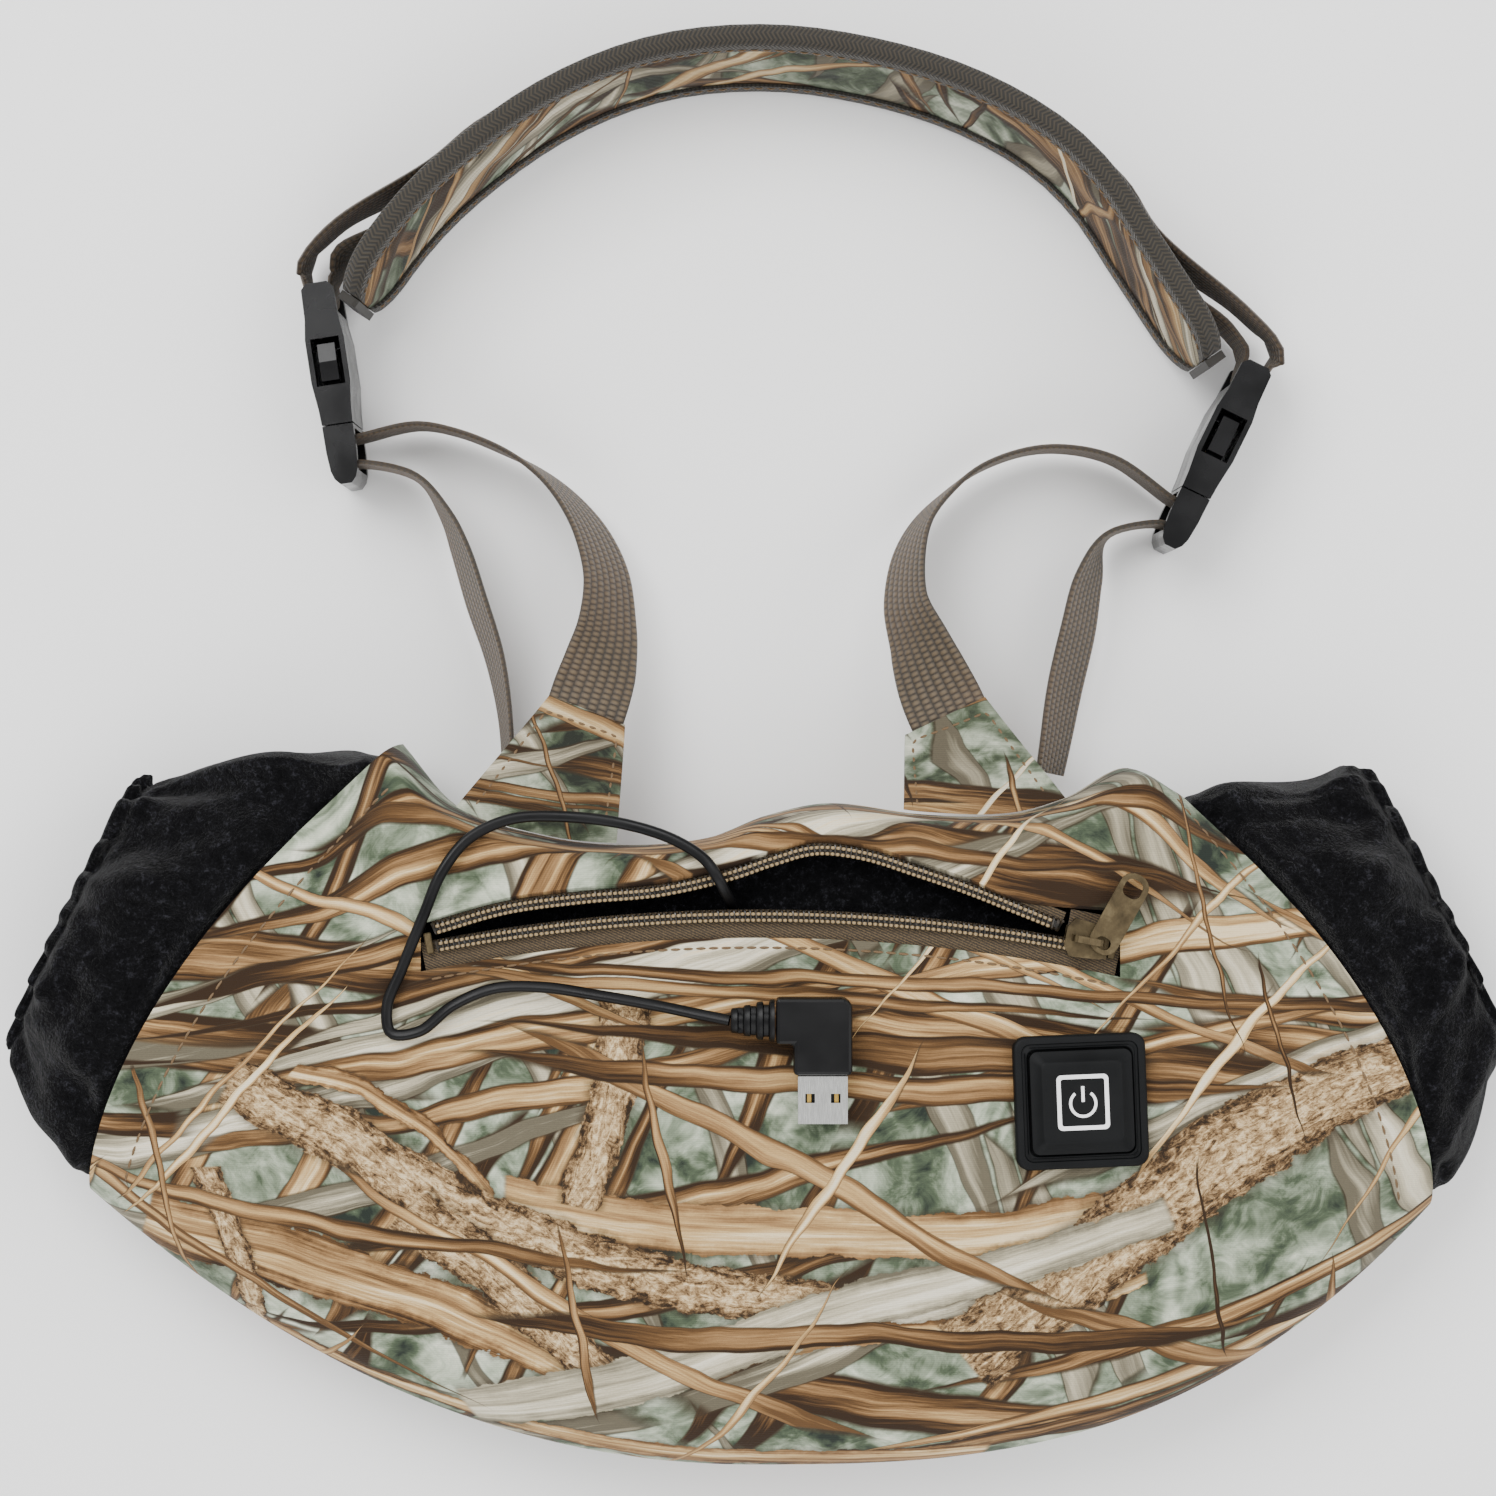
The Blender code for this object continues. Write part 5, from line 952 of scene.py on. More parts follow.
walk(cord_path)[-1] * MM
[list(p * MM) for p in cord_path]

# ------------------------------------------------------------------ the muff's cloth


# creases that run off the mouth's ends and the switch: middle, direction, width, length, depth
CREASES = ((-92, -70, 0.35, 1.0, 5, 34, 1.5), (-104, -92, 0.5, 1.0, 6, 30, 1.2),
           (100, -66, -0.55, 1.0, 5, 30, 1.3), (112, -96, -0.4, 1.0, 7, 34, 1.1),
           (-40, -88, 1.0, -0.16, 5, 44, 0.9), (30, -104, 1.0, 0.2, 7, 50, 1.0),
           (-66, -128, 1.0, 0.4, 7, 44, 1.0), (52, -146, 1.0, -0.1, 6, 48, 0.8))


def slack(x, y, side):
    """How far the cloth stands off its plain shape, in millimetres."""
    off = (1.5 * hum(x, y * 0.8, 3 * side, 55) + 0.8 * hum(x * 0.8 + 9, y, 7, 24)
           + 0.3 * hum(x, y, 11, 8))
    for cx, cy, dx, dy, wide, long, deep in CREASES:
        size = math.hypot(dx, dy)
        u = ((x - cx) * dx + (y - cy) * dy) / size
        v = ((x - cx) * dy - (y - cy) * dx) / size + 3 * math.sin(u / 16)
        off -= deep * math.exp(-(u / long) ** 2 - (v / wide) ** 2)
    return off


def gather(s, w):
    """Small folds that run down from the top seam, deepest at the seam."""
    near = math.exp(-w / 0.055)
    place = TOP_HALF * s
    wave = math.sin(place / 2.3 + 1.6 * math.sin(place / 11)) * 0.55 + 0.6 * hum(place, 0, 5, 9)
    return near * wave * smooth((1 - abs(s)) / 0.06) * smooth(w / 0.004)


def muff_cloth(s, w, side, inset=0.0):
    p = skin(s, w, side, inset)
    q = rise_at(w)
    calm = smooth(q / 0.4) * smooth((1 - abs(s)) / 0.05)
    if side > 0:
        near_switch = 1 - smooth((math.dist(p.xy, SWITCH_AT) - 20) / 12)
        calm *= (1 - zip_flatness(p.x, p.y, q)) * (1 - 0.9 * near_switch)
        p.z += min(1.2, slack(p.x, p.y, 1)) * calm + gather(s, w) * (1 - smooth((w - 0.1) / 0.1))
    else:
        pressed = smooth((p.z - 1.0) / 10)
        p.z = max(p.z - slack(p.x, p.y, -1) * calm * pressed, 0.05 + inset)
    return p


def fine_shares(shares, count):
    found = [mix(a, b, k / count) for a, b in zip(shares, shares[1:]) for k in range(count)]
    return found + [shares[-1]]


def cloth_columns():
    """The s and w of each column at the cut-out's two edges, and whether it crosses the cut-out."""
    columns = [(*(find(x, y) for y in slot_edges(x)), True) for x in spread(*ZIP_ENDS, 97)]
    for side, (up, low, _), count in ((-1, columns[0], 26), (1, columns[-1], 22)):
        extra = [((mix(up[0], side, t), up[1]), (mix(low[0], side, t), low[1]), False)
                 for t in (k / count for k in range(1, count + 1))]
        columns = extra[::-1] + columns if side < 0 else columns + extra
    return columns


def lip_share(p):
    """How far a point of the open mouth's upper side follows the lip, from 0 to 1."""
    x, y = p[0], p[1]
    if x <= -4.4 or x >= 76.5:
        return 0.0
    upper = along_points(UPPER_COIL, min(75.6, x))
    lower = ZIP_CENTRE[1] + math.sqrt(ZIP_RADIUS**2 - (x - ZIP_CENTRE[0]) ** 2)
    gap = max(0.0, upper - lower - COIL_WIDTH)
    fade = smooth((x + 4.4) / 9) * smooth((76.5 - x) / 3)
    seam = top_y((x - TOP_CENTRE) / TOP_HALF)
    down = smooth((seam - y) / max(2.0, seam - upper - LIP_EDGE))
    return min(1.0, gap / 13.0) * fade * down


def follow_lip(piece):
    """The piece bends between the muff and the lip; points under the mouth stay with the muff."""
    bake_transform(piece, "muff", "lip", start=(0.03, -0.016, 0.05), end=(0.03, -0.026, 0.05))
    for vertex, value in zip(piece.data.vertices, piece.data.attributes["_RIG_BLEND"].data):
        p = vertex.co / MM
        line = along_points(UPPER_COIL, min(75.6, max(-77.0, p.x))) - 3.0
        value.value = 0.0 if p.y < line or p.z < 40 else lip_share(p)


def make_cloth():
    columns = cloth_columns()
    top_rows, low_rows = fine_shares(TOP_ROWS, 5), fine_shares(FRONT_ROWS, 8)

    def grid(inset):
        rows = [[muff_cloth(up[0], max(SEAM_W, up[1] * t), 1, inset) for up, _, _ in columns]
                for t in top_rows]
        rows += [[muff_cloth(low[0], mix(low[1], 1, t), 1, inset) for _, low, _ in columns]
                 for t in low_rows]
        return rows + [[muff_cloth(low[0], w, -1, inset) for _, low, _ in columns]
                       for w in (0.993, 0.98, 0.965, 0.95, 0.94)]

    hole = len(top_rows) - 1
    front = make_sheet("muff_front", grid(0), grid(SHELL), "camouflage_cloth",
                       keep=lambda i, j: i != hole or not (columns[j][2] and columns[j + 1][2]),
                       body=None, replaces=["shell_front"], slot="camouflage_cloth")
    follow_lip(front)
    back = [[[muff_cloth(s, w, -1, inset) for s in spread(-1.0, 1.0, 101)]
             for w in fine_shares(LAYER_ROWS[:-3], 5)] for inset in (0, SHELL)]
    back = make_sheet("muff_back", *back, "camouflage_cloth", replaces=["shell_back"],
                      slot="camouflage_cloth")


make_cloth()

# ------------------------------------------------------------------ soft layers inside


def make_lining():
    across = [-LINING_END, *spread(-WADDING_END, WADDING_END, 71), LINING_END]
    ws = fine_shares(LAYER_ROWS, 3)

    def grid(extra):
        rows = []
        for w, side in [(w, 1) for w in ws] + [(w, -1) for w in ws[::-1]]:
            change = LINING_CHANGE_FRONT if side > 0 else -LINING_CHANGE_BACK
            q = rise_at(w)
            rows.append([])
            for s in across:
                p = skin(s, w, side, 0)
                fold = (0.5 * hum(p.x, p.y, side * 5, 16) + 0.25 * hum(p.x, p.y, 2, 6)) * q
                rows[-1].append(skin(s, w, side, LINING_OUTER + change * q + extra + fold * 0.6))
        return rows

    make_sheet("lining_fleece", grid(0), grid(LINING), "black_fleece", ring=True,
               replaces=["lining"], slot="black_fleece")


make_lining()


def copied(node, name, look, cuts=2, lump=0.25, size=7.0, body="muff", slot=None):
    """A soft piece in the place of its CAD solid, with finer faces and an uneven surface."""
    mesh = bpy.data.objects[node].data.copy()
    mesh.transform(bpy.data.objects[node].matrix_world)
    mesh.materials.clear()
    shell = bmesh.new()
    shell.from_mesh(mesh)
    for _ in range(cuts):
        long = [e for e in shell.edges if e.calc_length() > 5 * MM]
        if long:
            bmesh.ops.subdivide_edges(shell, edges=long, cuts=1, use_grid_fill=True)
            bmesh.ops.triangulate(shell, faces=[f for f in shell.faces if len(f.verts) > 4])
    shell.normal_update()
    for v in shell.verts:
        x, y, z = v.co / MM
        v.co += v.normal * lump * MM * hum(x, y, z, size)
    shell.to_mesh(mesh)
    shell.free()
    mesh.name = name
    return finish_mesh(name, mesh, look, body=body, slot=slot or look, replaces=[node])


bpy.context.view_layer.update()
for node, name, look in (("wadding_front", "fill_front", "wadding"),
                         ("wadding_back", "fill_back", "wadding"),
                         ("pocket_bag", "pocket", "black_fleece"),
                         ("heater_pad", "heater", "heating_sheet"),
                         ("belt_core", "belt_foam", "foam"),
                         ("cuff_elastic_left", "elastic_left", "elastic"),
                         ("cuff_elastic_right", "elastic_right", "elastic")):
    piece = copied(node, name, look)
    node in ("wadding_front", "wadding_back", "belt_core")


# ------------------------------------------------------------------ cuffs


def cuff_depth(phi, along, side):
    """How deep the fleece lies under its plain shape: soft folds run from the gathered rim."""
    free = smooth((along - 0.05) / 0.16)
    rim = smooth((along - 0.35) / 0.55)
    cx, cy = math.cos(phi), math.sin(phi)
    folds = math.sin(phi * 9 + 2.2 * hum(cx * 2, cy * 2, along * 1.3 + side, 1.1) + side)
    creases = hum(cx * 5, cy * 5, along * 2.6 + side * 4, 1.0)
    broad = hum(cx * 1.6, cy * 1.6, along * 3.4 + side * 7, 1.0)
    soft = 1.5 * folds * (0.25 + 0.75 * rim) + 2.0 * creases + 3.4 * broad
    band = smooth((along - 0.86) / 0.05)
    scallops = (2.3 * math.sin(phi * 23 + 1.5 * math.sin(phi * 4))
                + 1.3 * hum(cx * 14, cy * 14, along * 4, 1.0))
    groove = 1.7 * math.exp(-((along - 0.875) / 0.03) ** 2)
    gathered = scallops * smooth((along - 0.7) / 0.25)
    depth = free * (1.4 * soft * (1 - 0.65 * band) + gathered) + groove
    return min(3.8, max(-4.0, depth))


def make_cuff(side, name):
    shares = fine_shares(CUFF_SHARES[1:], 9)
    loop = [(w, 1) for w in shares] + [(1 - w, -1) for w in shares]
    steps = [-0.17, -0.1, -0.04, 0.0, *(0.012 * k for k in range(1, 9)), *spread(0.12, 0.84, 30),
             *spread(0.85, 0.97, 12), 0.978, 0.985, 0.991, 0.996, 1.0]

    def grid(inset):
        rows = []
        for w, face in loop:
            phi = math.acos(1 - 2 * w) * face
            rows.append([])
            for along in steps:
                roll = 0.9 * smooth((along - 0.965) / 0.035) ** 2
                extra = roll if inset == 0 else inset - roll
                p = cuff_point(side, w, face, along, cuff_depth(phi, along, side) + extra)
                p.z = max(p.z, CUFF_THICK if inset else 0.2)
                rows[-1].append(p)
        return rows

    cuff = make_sheet(f"cuff_fleece_{name}", grid(0), grid(CUFF_THICK), "black_fleece",
                      ring=True, replaces=[f"cuff_{name}"], slot="black_fleece")
    rows = grid(CUFF_THICK / 2)
    area = sum((b - a).cross(c - a).length for row, beside in zip(rows, rows[1:] + rows[:1])
               for a, b, c in zip(row, row[1:], beside))


make_cuff(-1, "left")
make_cuff(1, "right")

# ------------------------------------------------------------------ tabs


def make_tabs():
    for name, (left, right, far_left, far_right) in TABS.items():
        def point(u, t, half=0.0, left=left, right=right, far_left=far_left, far_right=far_right):
            base_x = mix(left[0], right[0], u)
            base_y = top_y((base_x - TOP_CENTRE) / TOP_HALF) + CLEARANCE + 0.5
            x = mix(base_x, mix(far_left[0], far_right[0], u), t)
            y = mix(base_y, mix(far_left[1], far_right[1], u), t)
            z = mix(TAB_BASE_Z, TAB_END_Z, smooth(0.15 + 0.85 * t))
            near = min(min(u, 1 - u) * 36, (1 - t) * 26)
            puff = smooth(near / 2.4) * 0.9 - 0.55 * math.exp(-((near - 3.0) / 0.8) ** 2) + 0.3
            puff += 0.5 * hum(x, y, 4, 10) * smooth(near / 4)
            return Vector((x, y, z + (half + math.copysign(puff * 0.75, half)) if half else z))

        even = spread(0, 1, 31)
        grids = [[[point(u, t, side * 0.7) for u in even] for t in even] for side in (1, -1)]
        make_sheet(f"tab_cloth_{name}", *grids, "camouflage_small", replaces=[f"tab_{name}"],
                   slot="camouflage_cloth")
        seam = [point(0.085, t, 0.7) for t in spread(0.05, 0.885, 14)]
        seam += [point(u, 0.885, 0.7) for u in spread(0.12, 0.88, 12)]
        seam += [point(0.915, t, 0.7) for t in spread(0.885, 0.05, 14)]
        many(f"tab_seam_{name}", stitches(seam, [UP] * len(seam), 2.1, 0.8), "thread")


make_tabs()

# ------------------------------------------------------------------ webbing


def make_ribbon(name, line, replaces, **settings):
    """Webbing along points with a turn: ribs run its length, and its edges are rounded."""
    ribs = 8
    shares = spread(0, 1, ribs * 4 + 1)
    rings, marks, walked, last = [], [], 0.0, None
    for c, a, n in stations_of(line):
        walked += (c - last).length if last else 0.0
        last = c
        rings.append([])
        for side, us in ((1, shares), (-1, shares[::-1])):
            for u in us:
                edge = min(u, 1 - u) * WEBBING
                round_off = math.sqrt(max(0.0, 1 - (1 - min(1.0, edge / 0.7)) ** 2))
                rib = 0.09 * math.cos(math.tau * u * ribs) * min(1.0, edge / 1.5)
                high = (WEBBING_THICK / 2 - 0.1 - rib) * max(0.12, round_off)
                rings[-1].append(c + a * (u - 0.5) * WEBBING + n * side * high)
                marks.append((u * WEBBING, walked))
    return make_mesh(name, *swept(rings), "olive_webbing", marks, replaces=replaces,
                     slot="olive_webbing", **settings)


def strap_line(name, step):
    """The strap's line, and the numbers of its points where it turns round the bar."""
    to_buckle, from_buckle = STRAPS[name]
    loop = around_bar(name, 90 if name == "left" else -90)
    first = curve_through(to_buckle + loop[:2], step)
    last = curve_through(loop[7:] + from_buckle, step)
    whole = [first[-1], *(Vector(p) for p in loop[2:7]), last[0]]
    turned = [a.lerp(b, k / 3) for a, b in zip(whole, whole[1:]) for k in range(3)]
    return first[:-1] + turned + last, len(first), len(first) + len(turned)


def make_strap(name):
    line, start, stop = strap_line(name, 2.0)
    away = (line[0] - line[1]).to_3d().normalized() * 2.6
    line[:0] = [line[0] + Vector((*(away * k), 0)) for k in (2, 1)]  # sewn in under the tab
    strap = make_ribbon(f"strap_web_{name}", line, [f"strap_{name}"], body=None)
    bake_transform(strap, "muff", f"{name}_half", start=(0, 0, 0), end=(0, 0.1, 0))
    walked = walk([p.to_3d() for p in line])
    ring = len(strap.data.vertices) // len(line)
    low, high = walked[start + 2], walked[min(stop + 2, len(walked) - 1)]
    for k, value in enumerate(strap.data.attributes["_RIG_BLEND"].data):
        here = walked[k // ring]
        value.value = 1 - smooth((max(0.0, low - here, here - high) - 9) / 46)


make_strap("left")
make_strap("right")


def belt_strap_line(frames, binding_out):
    lift = binding_out + CLEARANCE + WEBBING_THICK / 2
    middle = BELT_TALL / 2
    walked = walk([place for place, _, _ in frames])
    tilt = math.degrees(math.atan(BELT_LEAN))

    def on_face(name, distance, extra=0.0, back=False):
        want = distance if name == "left" else walked[-1] - distance
        k, share = place_on(walked, want)
        out = frames[k][1].lerp(frames[k + 1][1], share)
        spot = frames[k][0].lerp(frames[k + 1][0], share) + out * (lift + extra)
        return Vector((spot.x, spot.y, middle, 90 + tilt if back else 90 - tilt))

    def loop(name):
        far = BAR_HALF[0] + BAR_ROOM + 0.35
        deep = BAR_HALF[1] + BAR_ROOM + 0.55
        points = [(-3.4, -deep - 0.7), (-0.6, -deep - 0.3), (1.7, -deep + 0.1), (far, -1.3),
                  (far + 0.2, 0.0), (far, 1.3), (1.7, deep - 0.1), (-0.6, deep + 0.3),
                  (-3.4, deep + 0.7)]
        return [Vector((*buckle_place(name, FEMALE_BAR + p, r, BUCKLE_WIDE / 2), 90))
                for p, r in points]

    def run(table, name):
        low = BUCKLE_WIDE / 2
        rises = (low, mix(low, middle, 0.35), mix(low, middle, 0.8))
        return [Vector((x, y, rises[k], 90)) for k, (x, y) in enumerate(table[name])]

    second = WEBBING_THICK + CLEARANCE
    near, off = BELT_FACE["left"]
    left = loop("left")[::-1]
    start = [on_face("left", near + 12, back=True), on_face("left", near, back=True),
             *run(BELT_INNER_RUN, "left")[::-1], left[0]]
    near_right, off_right = BELT_FACE["right"]
    clear = spread(off + 14, walked[-1] - off_right - 14, 12)
    over = [left[-1], *run(BELT_OUTER_RUN, "left"), on_face("left", off, second)]
    over += [on_face("left", d, second * (k in (0, 11))) for k, d in enumerate(clear)]
    right = loop("right")
    over += [on_face("right", off_right, second), *run(BELT_OUTER_RUN, "right")[::-1], right[0]]
    finish = [right[-1], *run(BELT_INNER_RUN, "right"), on_face("right", near_right, back=True),
              on_face("right", near_right + 11, back=True)]

    def eased(points):
        return [a.lerp(b, k / 2) for a, b in zip(points, points[1:]) for k in range(2)]

    return (curve_through(start, 2.5)[:-1] + eased(left) + curve_through(over, 3)[:-1]
            + eased(right) + curve_through(finish, 2.5))


def belt_section(half, thick):
    """The belt's section: up its back, over, down its face and under, as distance and height."""
    up, over = spread(-half, half, 20), (-thick / 3, thick / 3)
    return ([(-thick, z) for z in up] + [(r, half) for r in over]
            + [(thick, z) for z in up[::-1]] + [(-r, -half) for r in over])


def edge_section(u, half, edge, tip):
    """The binding's section at share u across it: up the back, round the edge, down the face."""
    turn = math.pi * min(1.0, max(0.0, (u - 0.3) / 0.4))
    bend = min(edge, 2.2)
    if 0.3 <= u <= 0.7:
        return -edge * math.cos(turn), tip - bend + bend * math.sin(turn) ** 0.6
    return -edge * math.cos(turn), mix(half - BINDING_DEEP, tip - bend, min(u, 1 - u) / 0.3)


def make_belt():
    frames = belt_frames()
    binding_out = BELT_THICK / 2 + CLEARANCE + BINDING_WALL
    make_ribbon("belt_web", belt_strap_line(frames, binding_out), ["belt_strap"])
    inner = [(p.lerp(p2, k / 4), o.lerp(o2, k / 4).normalized(), mix(e, e2, k / 4))
             for (p, o, e), (p2, o2, e2) in zip(frames[1:-1], frames[2:-1]) for k in range(4)]
    inner.append(frames[-2])
    middle = BELT_TALL / 2

    def cover(grow):
        rows = []
        for place, out, end in inner:
            half = belt_half(end) - BINDING_WALL - CLEARANCE - grow
            rows.append([])
            for r, z in belt_section(half, BELT_THICK / 2 - grow):
                swell = (0.55 + 0.75 * hum(place.x, place.y, z * 1.4, 17)
                         + 0.35 * hum(place.x, place.y, z, 6))
                off = smooth((half - 5.6 - abs(z)) / 4) * swell * (0.9 if r < 0 else 0.3)
                rows[-1].append(on_belt(place, out, r + math.copysign(off, r), middle + z))
        return [list(line) for line in zip(*rows)]

    cloth = make_sheet("belt_cloth", cover(0), cover(BELT_WALL), "camouflage_belt", ring=True,
                       replaces=["belt_cover"], slot="camouflage_cloth")
    walked = walk([place for place, _, _ in inner])
    for name, side, look in (("top", 1, "olive_binding"), ("bottom", -1, "dark_binding")):

        def binding(grow, side=side):
            rows = []
            for u in spread(0, 1, 17):
                rows.append([])
                for place, out, end in inner:
                    half = belt_half(end)
                    r, z = edge_section(u, half, binding_out - grow, half - grow)
                    rows[-1].append(on_belt(place, out, r, middle + side * z))
            return rows

        make_sheet(f"belt_edge_{name}", binding(0), binding(BINDING_WALL), look,
                   marks=[[(u * 15.5, far) for far in walked] for u in spread(0, 1, 17)],
                   replaces=[f"belt_binding_{name}"], slot="olive_binding")
        seam, outs = [], []
        for place, out, end in inner[4:-4]:
            z = middle + side * (belt_half(end) - BINDING_DEEP + 1.3)
            seam.append(on_belt(place, out, -binding_out, z))
            outs.append(-out)
        threads_and_highlights = stitches(seam, outs, 2.2, 0.9)
        seam = [p + o * -2 * binding_out for p, o in zip(seam, outs)]
        threads_and_highlights += stitches(seam, [-o for o in outs], 2.2, 0.9)
        many(f"belt_seam_{name}", threads_and_highlights, "thread")
    for name in ("left", "right"):
        copied(f"belt_end_{name}", f"belt_cap_{name}", "dark_binding", 2, 0.1, slot="olive_binding")


make_belt()

# ------------------------------------------------------------------ zip


def beside(way):
    """The level direction to the left of a way."""
    return Vector((-way.y, way.x, 0))


def make_coil(name, line, half, low, high, body, replaces):
    """A wire wound along the line, in flat loops lying side by side on a core, with pale beads on its top
    loops that are painted highlights.
    """
    walked = walk(line)
    pitch, steps, wire = 1.3, 14, 0.42
    middle, tall = (low + high) / 2, (high - low) / 2
    turns = int(walked[-1] / pitch)

    def along(wants):
        """The place, the way and the direction across at each distance along the line."""
        k = 0
        for want in wants:
            while walked[k + 1] < want:
                k += 1
            way = way_at(line, k, 2)
            share = (want - walked[k]) / (walked[k + 1] - walked[k])
            yield line[k].lerp(line[k + 1], share), way, beside(way)

    path = []
    wants = [min(walked[-1] - 1e-6, walked[-1] * n / (turns * steps))
             for n in range(turns * steps + 1)]
    for n, (here, _, side) in enumerate(along(wants)):
        turn = math.tau * n / steps
        flat = math.copysign(abs(math.cos(turn)) ** 0.6, math.cos(turn))
        path.append(here + side * flat * (half - wire)
                    + UP * (middle + math.sin(turn) * (tall - wire)))
    coil = make_tube(name, path, 0.4, "zip_coil", 6, body=body, replaces=replaces, slot="zip_coil")
    # painted highlights: two rows of pale beads on the coil's top loops, one pair per turn
    highlight_beads = []
    for here, way, side in along([n * pitch for n in range(1, turns - 1)]):
        for across in (-0.62, 0.28):
            spot = here + side * half * across + UP * (high - 0.1)
            highlight_beads.append(stitch(spot - way * 0.5, spot + way * 0.5, UP, 0.4, 0.05))
    threads_and_highlights = many(f"{name}_pale_highlights", highlight_beads, "pale_highlight", body=body)
    core = [[line[n] + beside(way_at(line, n)) * (half - 0.9) * a
             + UP * (middle + (tall - 0.75) * b) for a, b in ((-1, -1), (1, -1), (1, 1), (-1, 1))]
            for n in range(0, len(line), 2)]
    return [coil, threads_and_highlights, make_mesh(f"{name}_core", *swept(core), "coil_core", body=body)]


def make_tape(name, edges, body, replaces):
    """A woven strip between pairs of plan points, with a little waviness."""
    grids = [[[Vector((mix(a[0], b[0], t), mix(a[1], b[1], t), high + wavy * math.sin(t * 40)))
               for t in spread(0, 1, 9)] for a, b in edges]
             for high, wavy in ((ZIP_Z, 0.09), (ZIP_Z - TAPE_THICK, 0.0))]
    return make_sheet(name, *grids, "zip_tape", body=body, replaces=replaces, slot="zip_tape")


def make_zip():
    left, right = zip_angle(ZIP_ENDS[0] + 1.2), zip_angle(ZIP_ENDS[1] - 1.2)
    ends = zip_angle(ZIP_ENDS[0] + 0.1), zip_angle(ZIP_ENDS[1] - 0.1)
    near, far = ZIP_RADIUS - TAPE_WIDTH, ZIP_RADIUS + COIL_WIDTH / 2 - 0.3
    make_tape("tape_lower", [(on_arc(near, a), on_arc(far, a)) for a in spread(*ends, 88)],
              "muff", ["zip_tape_lower"])
    bottom, top = ZIP_Z + CLEARANCE, ZIP_Z + CLEARANCE + COIL_HEIGHT
    half = COIL_WIDTH / 2
    inside = spread(left + 2.6 / ZIP_RADIUS, right - 2.6 / ZIP_RADIUS, 200)
    make_coil("coil_lower", [Vector((*on_arc(ZIP_RADIUS, a), 0)) for a in inside], half, bottom,
              top, "muff", ["zip_coil_lower"])
    stop = slider_edge(-1) - 1.0 / ZIP_RADIUS
    end = on_arc(ZIP_RADIUS + COIL_WIDTH + 0.6, stop)
    knots = [(*p, 0) for p in UPPER_COIL[:-1]] + [(*end, 0)]
    pieces = make_coil("coil_upper", curve_through(knots, 0.9), half, bottom, top, None,
                       ["zip_coil_upper"])
    line = curve_through(knots, 2.0)
    sides = [(p, beside(way_at(line, k))) for k, p in enumerate(line)]
    pieces.append(make_tape("tape_upper", [((p - n * (half - 0.3)).xy, (p + n * (half + 1.9)).xy)
                                           for p, n in sides], None, ["zip_tape_upper"]))
    for piece in pieces:
        follow_lip(piece)
    make_tape("tape_upper_end", [(on_arc(ZIP_RADIUS + COIL_WIDTH / 2 - 0.2, a),
                                  on_arc(ZIP_RADIUS + 8.5, a))
                                 for a in spread(zip_angle(77.6), ends[1], 9)], "muff", [])
    # a row of stitches along the cut-out's lower edge
    seam = [muff_cloth(*find(x, slot_edges(x)[1] - 2.4), 1)
            for x in spread(ZIP_ENDS[0] + 2, ZIP_ENDS[1] - 2, 110)]
    many("mouth_seam_lower", stitches(seam, [UP] * len(seam), 2.4, 0.7), "thread")


make_zip()


def make_hems():
    for side, name in ((-1, "left"), (1, "right")):
        line, outs = [], []
        for w in spread(0.04, 0.93, 90):
            here = muff_cloth(side * 0.952, w, 1)
            along = muff_cloth(side * 0.952, w + 0.005, 1) - here
            inward = muff_cloth(side * 0.94, w, 1) - here
            out = inward.cross(along) * side
            line.append(here)
            outs.append(out.normalized() if out.z > 0 else -out.normalized())
        many(f"hem_seam_{name}", stitches(line, outs, 2.6, 1.0), "thread")


make_hems()

# ------------------------------------------------------------------ power switch


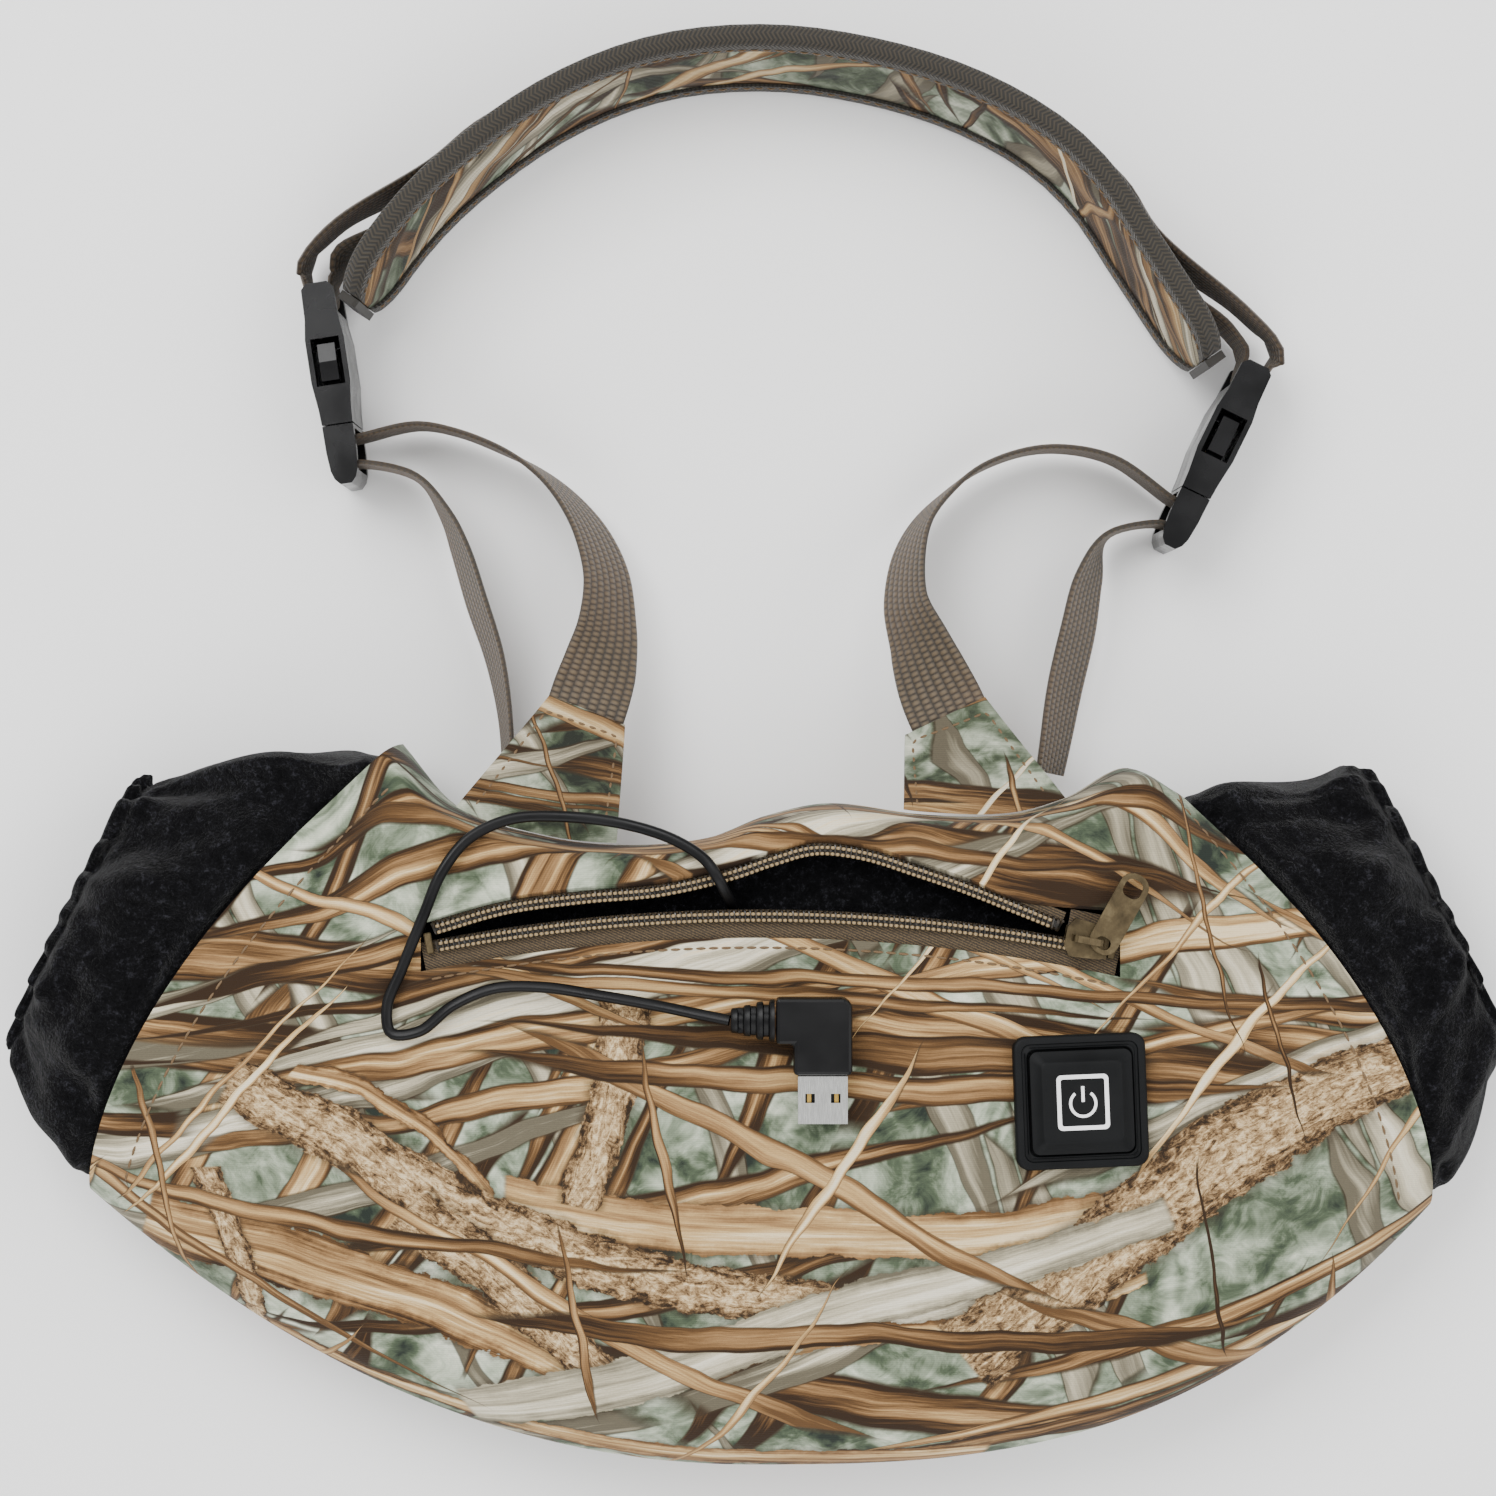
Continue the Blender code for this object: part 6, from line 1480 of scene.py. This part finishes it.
def make_switch():
    frame4 = switch_frame()
    bottom = CLEARANCE + 0.25
    top = bottom + SWITCH_BASE_THICK
    half, well = SWITCH_SIZE / 2, KEY_FOOT / 2 + CLEARANCE

    def placed(points):
        return [frame4 @ Vector(p) for p in points]

    def moulding(name, sections, **settings):
        """A solid through rounded squares, given by half size, corner and height."""
        rings = [placed((x, y, z) for x, y in rounded_rectangle(size, size, corner, 8))
                 for size, corner, z in sections]
        make_mesh(name, *swept(rings), "black_silicone", slot="black_silicone", smooth_angle=60,
                  **settings)

    # up the outer side, over the rim with its groove and down into the key's well
    moulding("switch_frame_moulding",
             [(half - 0.4, SWITCH_CORNER, bottom), (half, SWITCH_CORNER, bottom + 0.3),
              (half, SWITCH_CORNER, top - 0.7), (half - 0.25, SWITCH_CORNER, top - 0.2),
              (half - 0.7, SWITCH_CORNER - 0.3, top), (half - 1.9, SWITCH_CORNER - 1, top),
              (half - 2.1, SWITCH_CORNER - 1.1, top - 0.45), (half - 2.7, 1.9, top - 0.45),
              (half - 2.9, 1.9, top), (well + 0.25, 2.1, top), (well, 2.0, top - 0.25),
              (well, 2.0, bottom + 0.9)], replaces=["switch_base"])
    foot = bottom + 0.9 + CLEARANCE + BOARD_THICK + CLEARANCE + 0.1
    key_top = foot + KEY_TALL - 2.0
    rest, wide, mid = foot + KEY_TRAVEL, KEY_FOOT / 2, KEY_TOP / 2
    moulding("key_cap",
             [(wide - 0.4, 2.0, rest), (wide, 2.0, rest + 0.3), (wide, 2.0, rest + 0.7),
              (mix(wide, mid, 0.15), 1.9, rest + 0.9), (mid + 0.5, 1.5, key_top - 0.55),
              (mid + 0.25, 1.4, key_top - 0.15), (mid - 0.3, 1.2, key_top),
              (mid - 1.2, 1.0, key_top - 0.05), (mid - 5.0, 0.8, key_top - 0.12)],
             body="key", replaces=["power_key"])

    # the print: a rounded square round the power sign, a broken ring with a bar in its gap
    low, high = key_top - 0.15, key_top + 0.1
    outer, inner = rounded_rectangle(6.35, 6.7, 1.2, 6), rounded_rectangle(5.35, 5.7, 0.6, 6)
    count = len(outer)
    square = placed((x, y, z) for z in (low, high) for ring in (outer, inner) for x, y in ring)
    faces = []
    for k in range(count):
        n = (k + 1) % count
        faces += [[k, n, count + n, count + k],
                  [2 * count + n, 2 * count + k, 3 * count + k, 3 * count + n],
                  [n, k, 2 * count + k, 2 * count + n],
                  [count + k, count + n, 3 * count + n, 3 * count + k]]
    ring = [placed((r * math.cos(turn), r * math.sin(turn) - 0.3, z) for r, z in
                   ((2.75, low), (3.45, low), (3.45, high), (2.75, high)))
            for turn in (math.radians(mix(128, 412, k / 40)) for k in range(41))]
    bar = [placed((x, y, z) for x, z in ((-0.38, low), (0.38, low), (0.38, high), (-0.38, high)))
           for y in (0.1, 3.9)]
    many("key_print", [(square, faces), swept(ring), swept(bar)], "print", body="key")


make_switch()

# ------------------------------------------------------------------ CAD nodes that stay

FINISH = {
    "aged_brass": ["zip_slider", "zip_crown", "zip_pull", "zip_stop_left", "zip_stop_right"],
    "black_rubber": ["grommet", "heater_lead", "switch_lead", "usb_moulding"],
    "circuit_board": ["switch_board"], "plated_steel": ["tact_switch", "usb_shell"],
    "black_acetal": ["usb_tongue", *(
        f"{word}_{name}" for name in ("left", "right")
        for word in ("buckle_female", "buckle_male", "latch_upper", "latch_lower"))],
    "gold_contact": [f"usb_contact_{k}" for k in range(1, 5)]}
EDGES = {"usb_moulding": 0.5, "zip_slider": 0.35, "zip_pull": 0.3, "zip_crown": 0.15,
         "usb_shell": 0.06, "grommet": 0.3}
for node, look in ((node, look) for look, nodes in FINISH.items() for node in nodes):
    part = bpy.data.objects[node]
    part.data.materials.clear()
    part.data.materials.append(LOOKS[look])
    edge = part.modifiers.new("edge", "BEVEL")
    edge.width = EDGES.get(node, 0.6 if "buckle" in node else 0.08) * MM
    edge.segments = 3
    edge.limit_method = "ANGLE"
    edge.angle_limit = math.radians(32)
    edge.use_clamp_overlap = True
    edge.harden_normals = True

# ------------------------------------------------------------------ floor and lights


def make_stage():
    floor = bpy.data.meshes.new("floor")
    floor.from_pydata([(-3, -3, -0.001), (3, -3, -0.001), (3, 3, -0.001), (-3, 3, -0.001)], [],
                      [(0, 1, 2, 3)])
    look = Look("floor")
    dust = look.noise(look.here(), 0.002, 2)
    look.finish(look.ramp(dust, [(0.3, (0.96,) * 3), (0.7, (0.98,) * 3)]), 0.9)
    floor.materials.append(look.made)
    shown("floor", floor)
    world = bpy.data.worlds.new("studio")
    world.use_nodes = True
    sky = world.node_tree.nodes["Background"].inputs
    sky["Color"].default_value = (1, 1, 1, 1)
    sky["Strength"].default_value = 1.0
    bpy.context.scene.world = world
    for name, place, size, power in (("key", (-0.5, 0.7, 1.3), 0.9, 22),
                                     ("fill", (0.9, 0.1, 1.1), 1.1, 8),
                                     ("low", (-0.1, -1.0, 0.9), 1.0, 7)):
        lamp = bpy.data.lights.new(name, "AREA")
        lamp.size = size
        lamp.energy = power
        lamp = shown(name, lamp)
        lamp.location = place
        lamp.rotation_euler = (-Vector(place)).to_track_quat("-Z", "Y").to_euler()


make_stage()
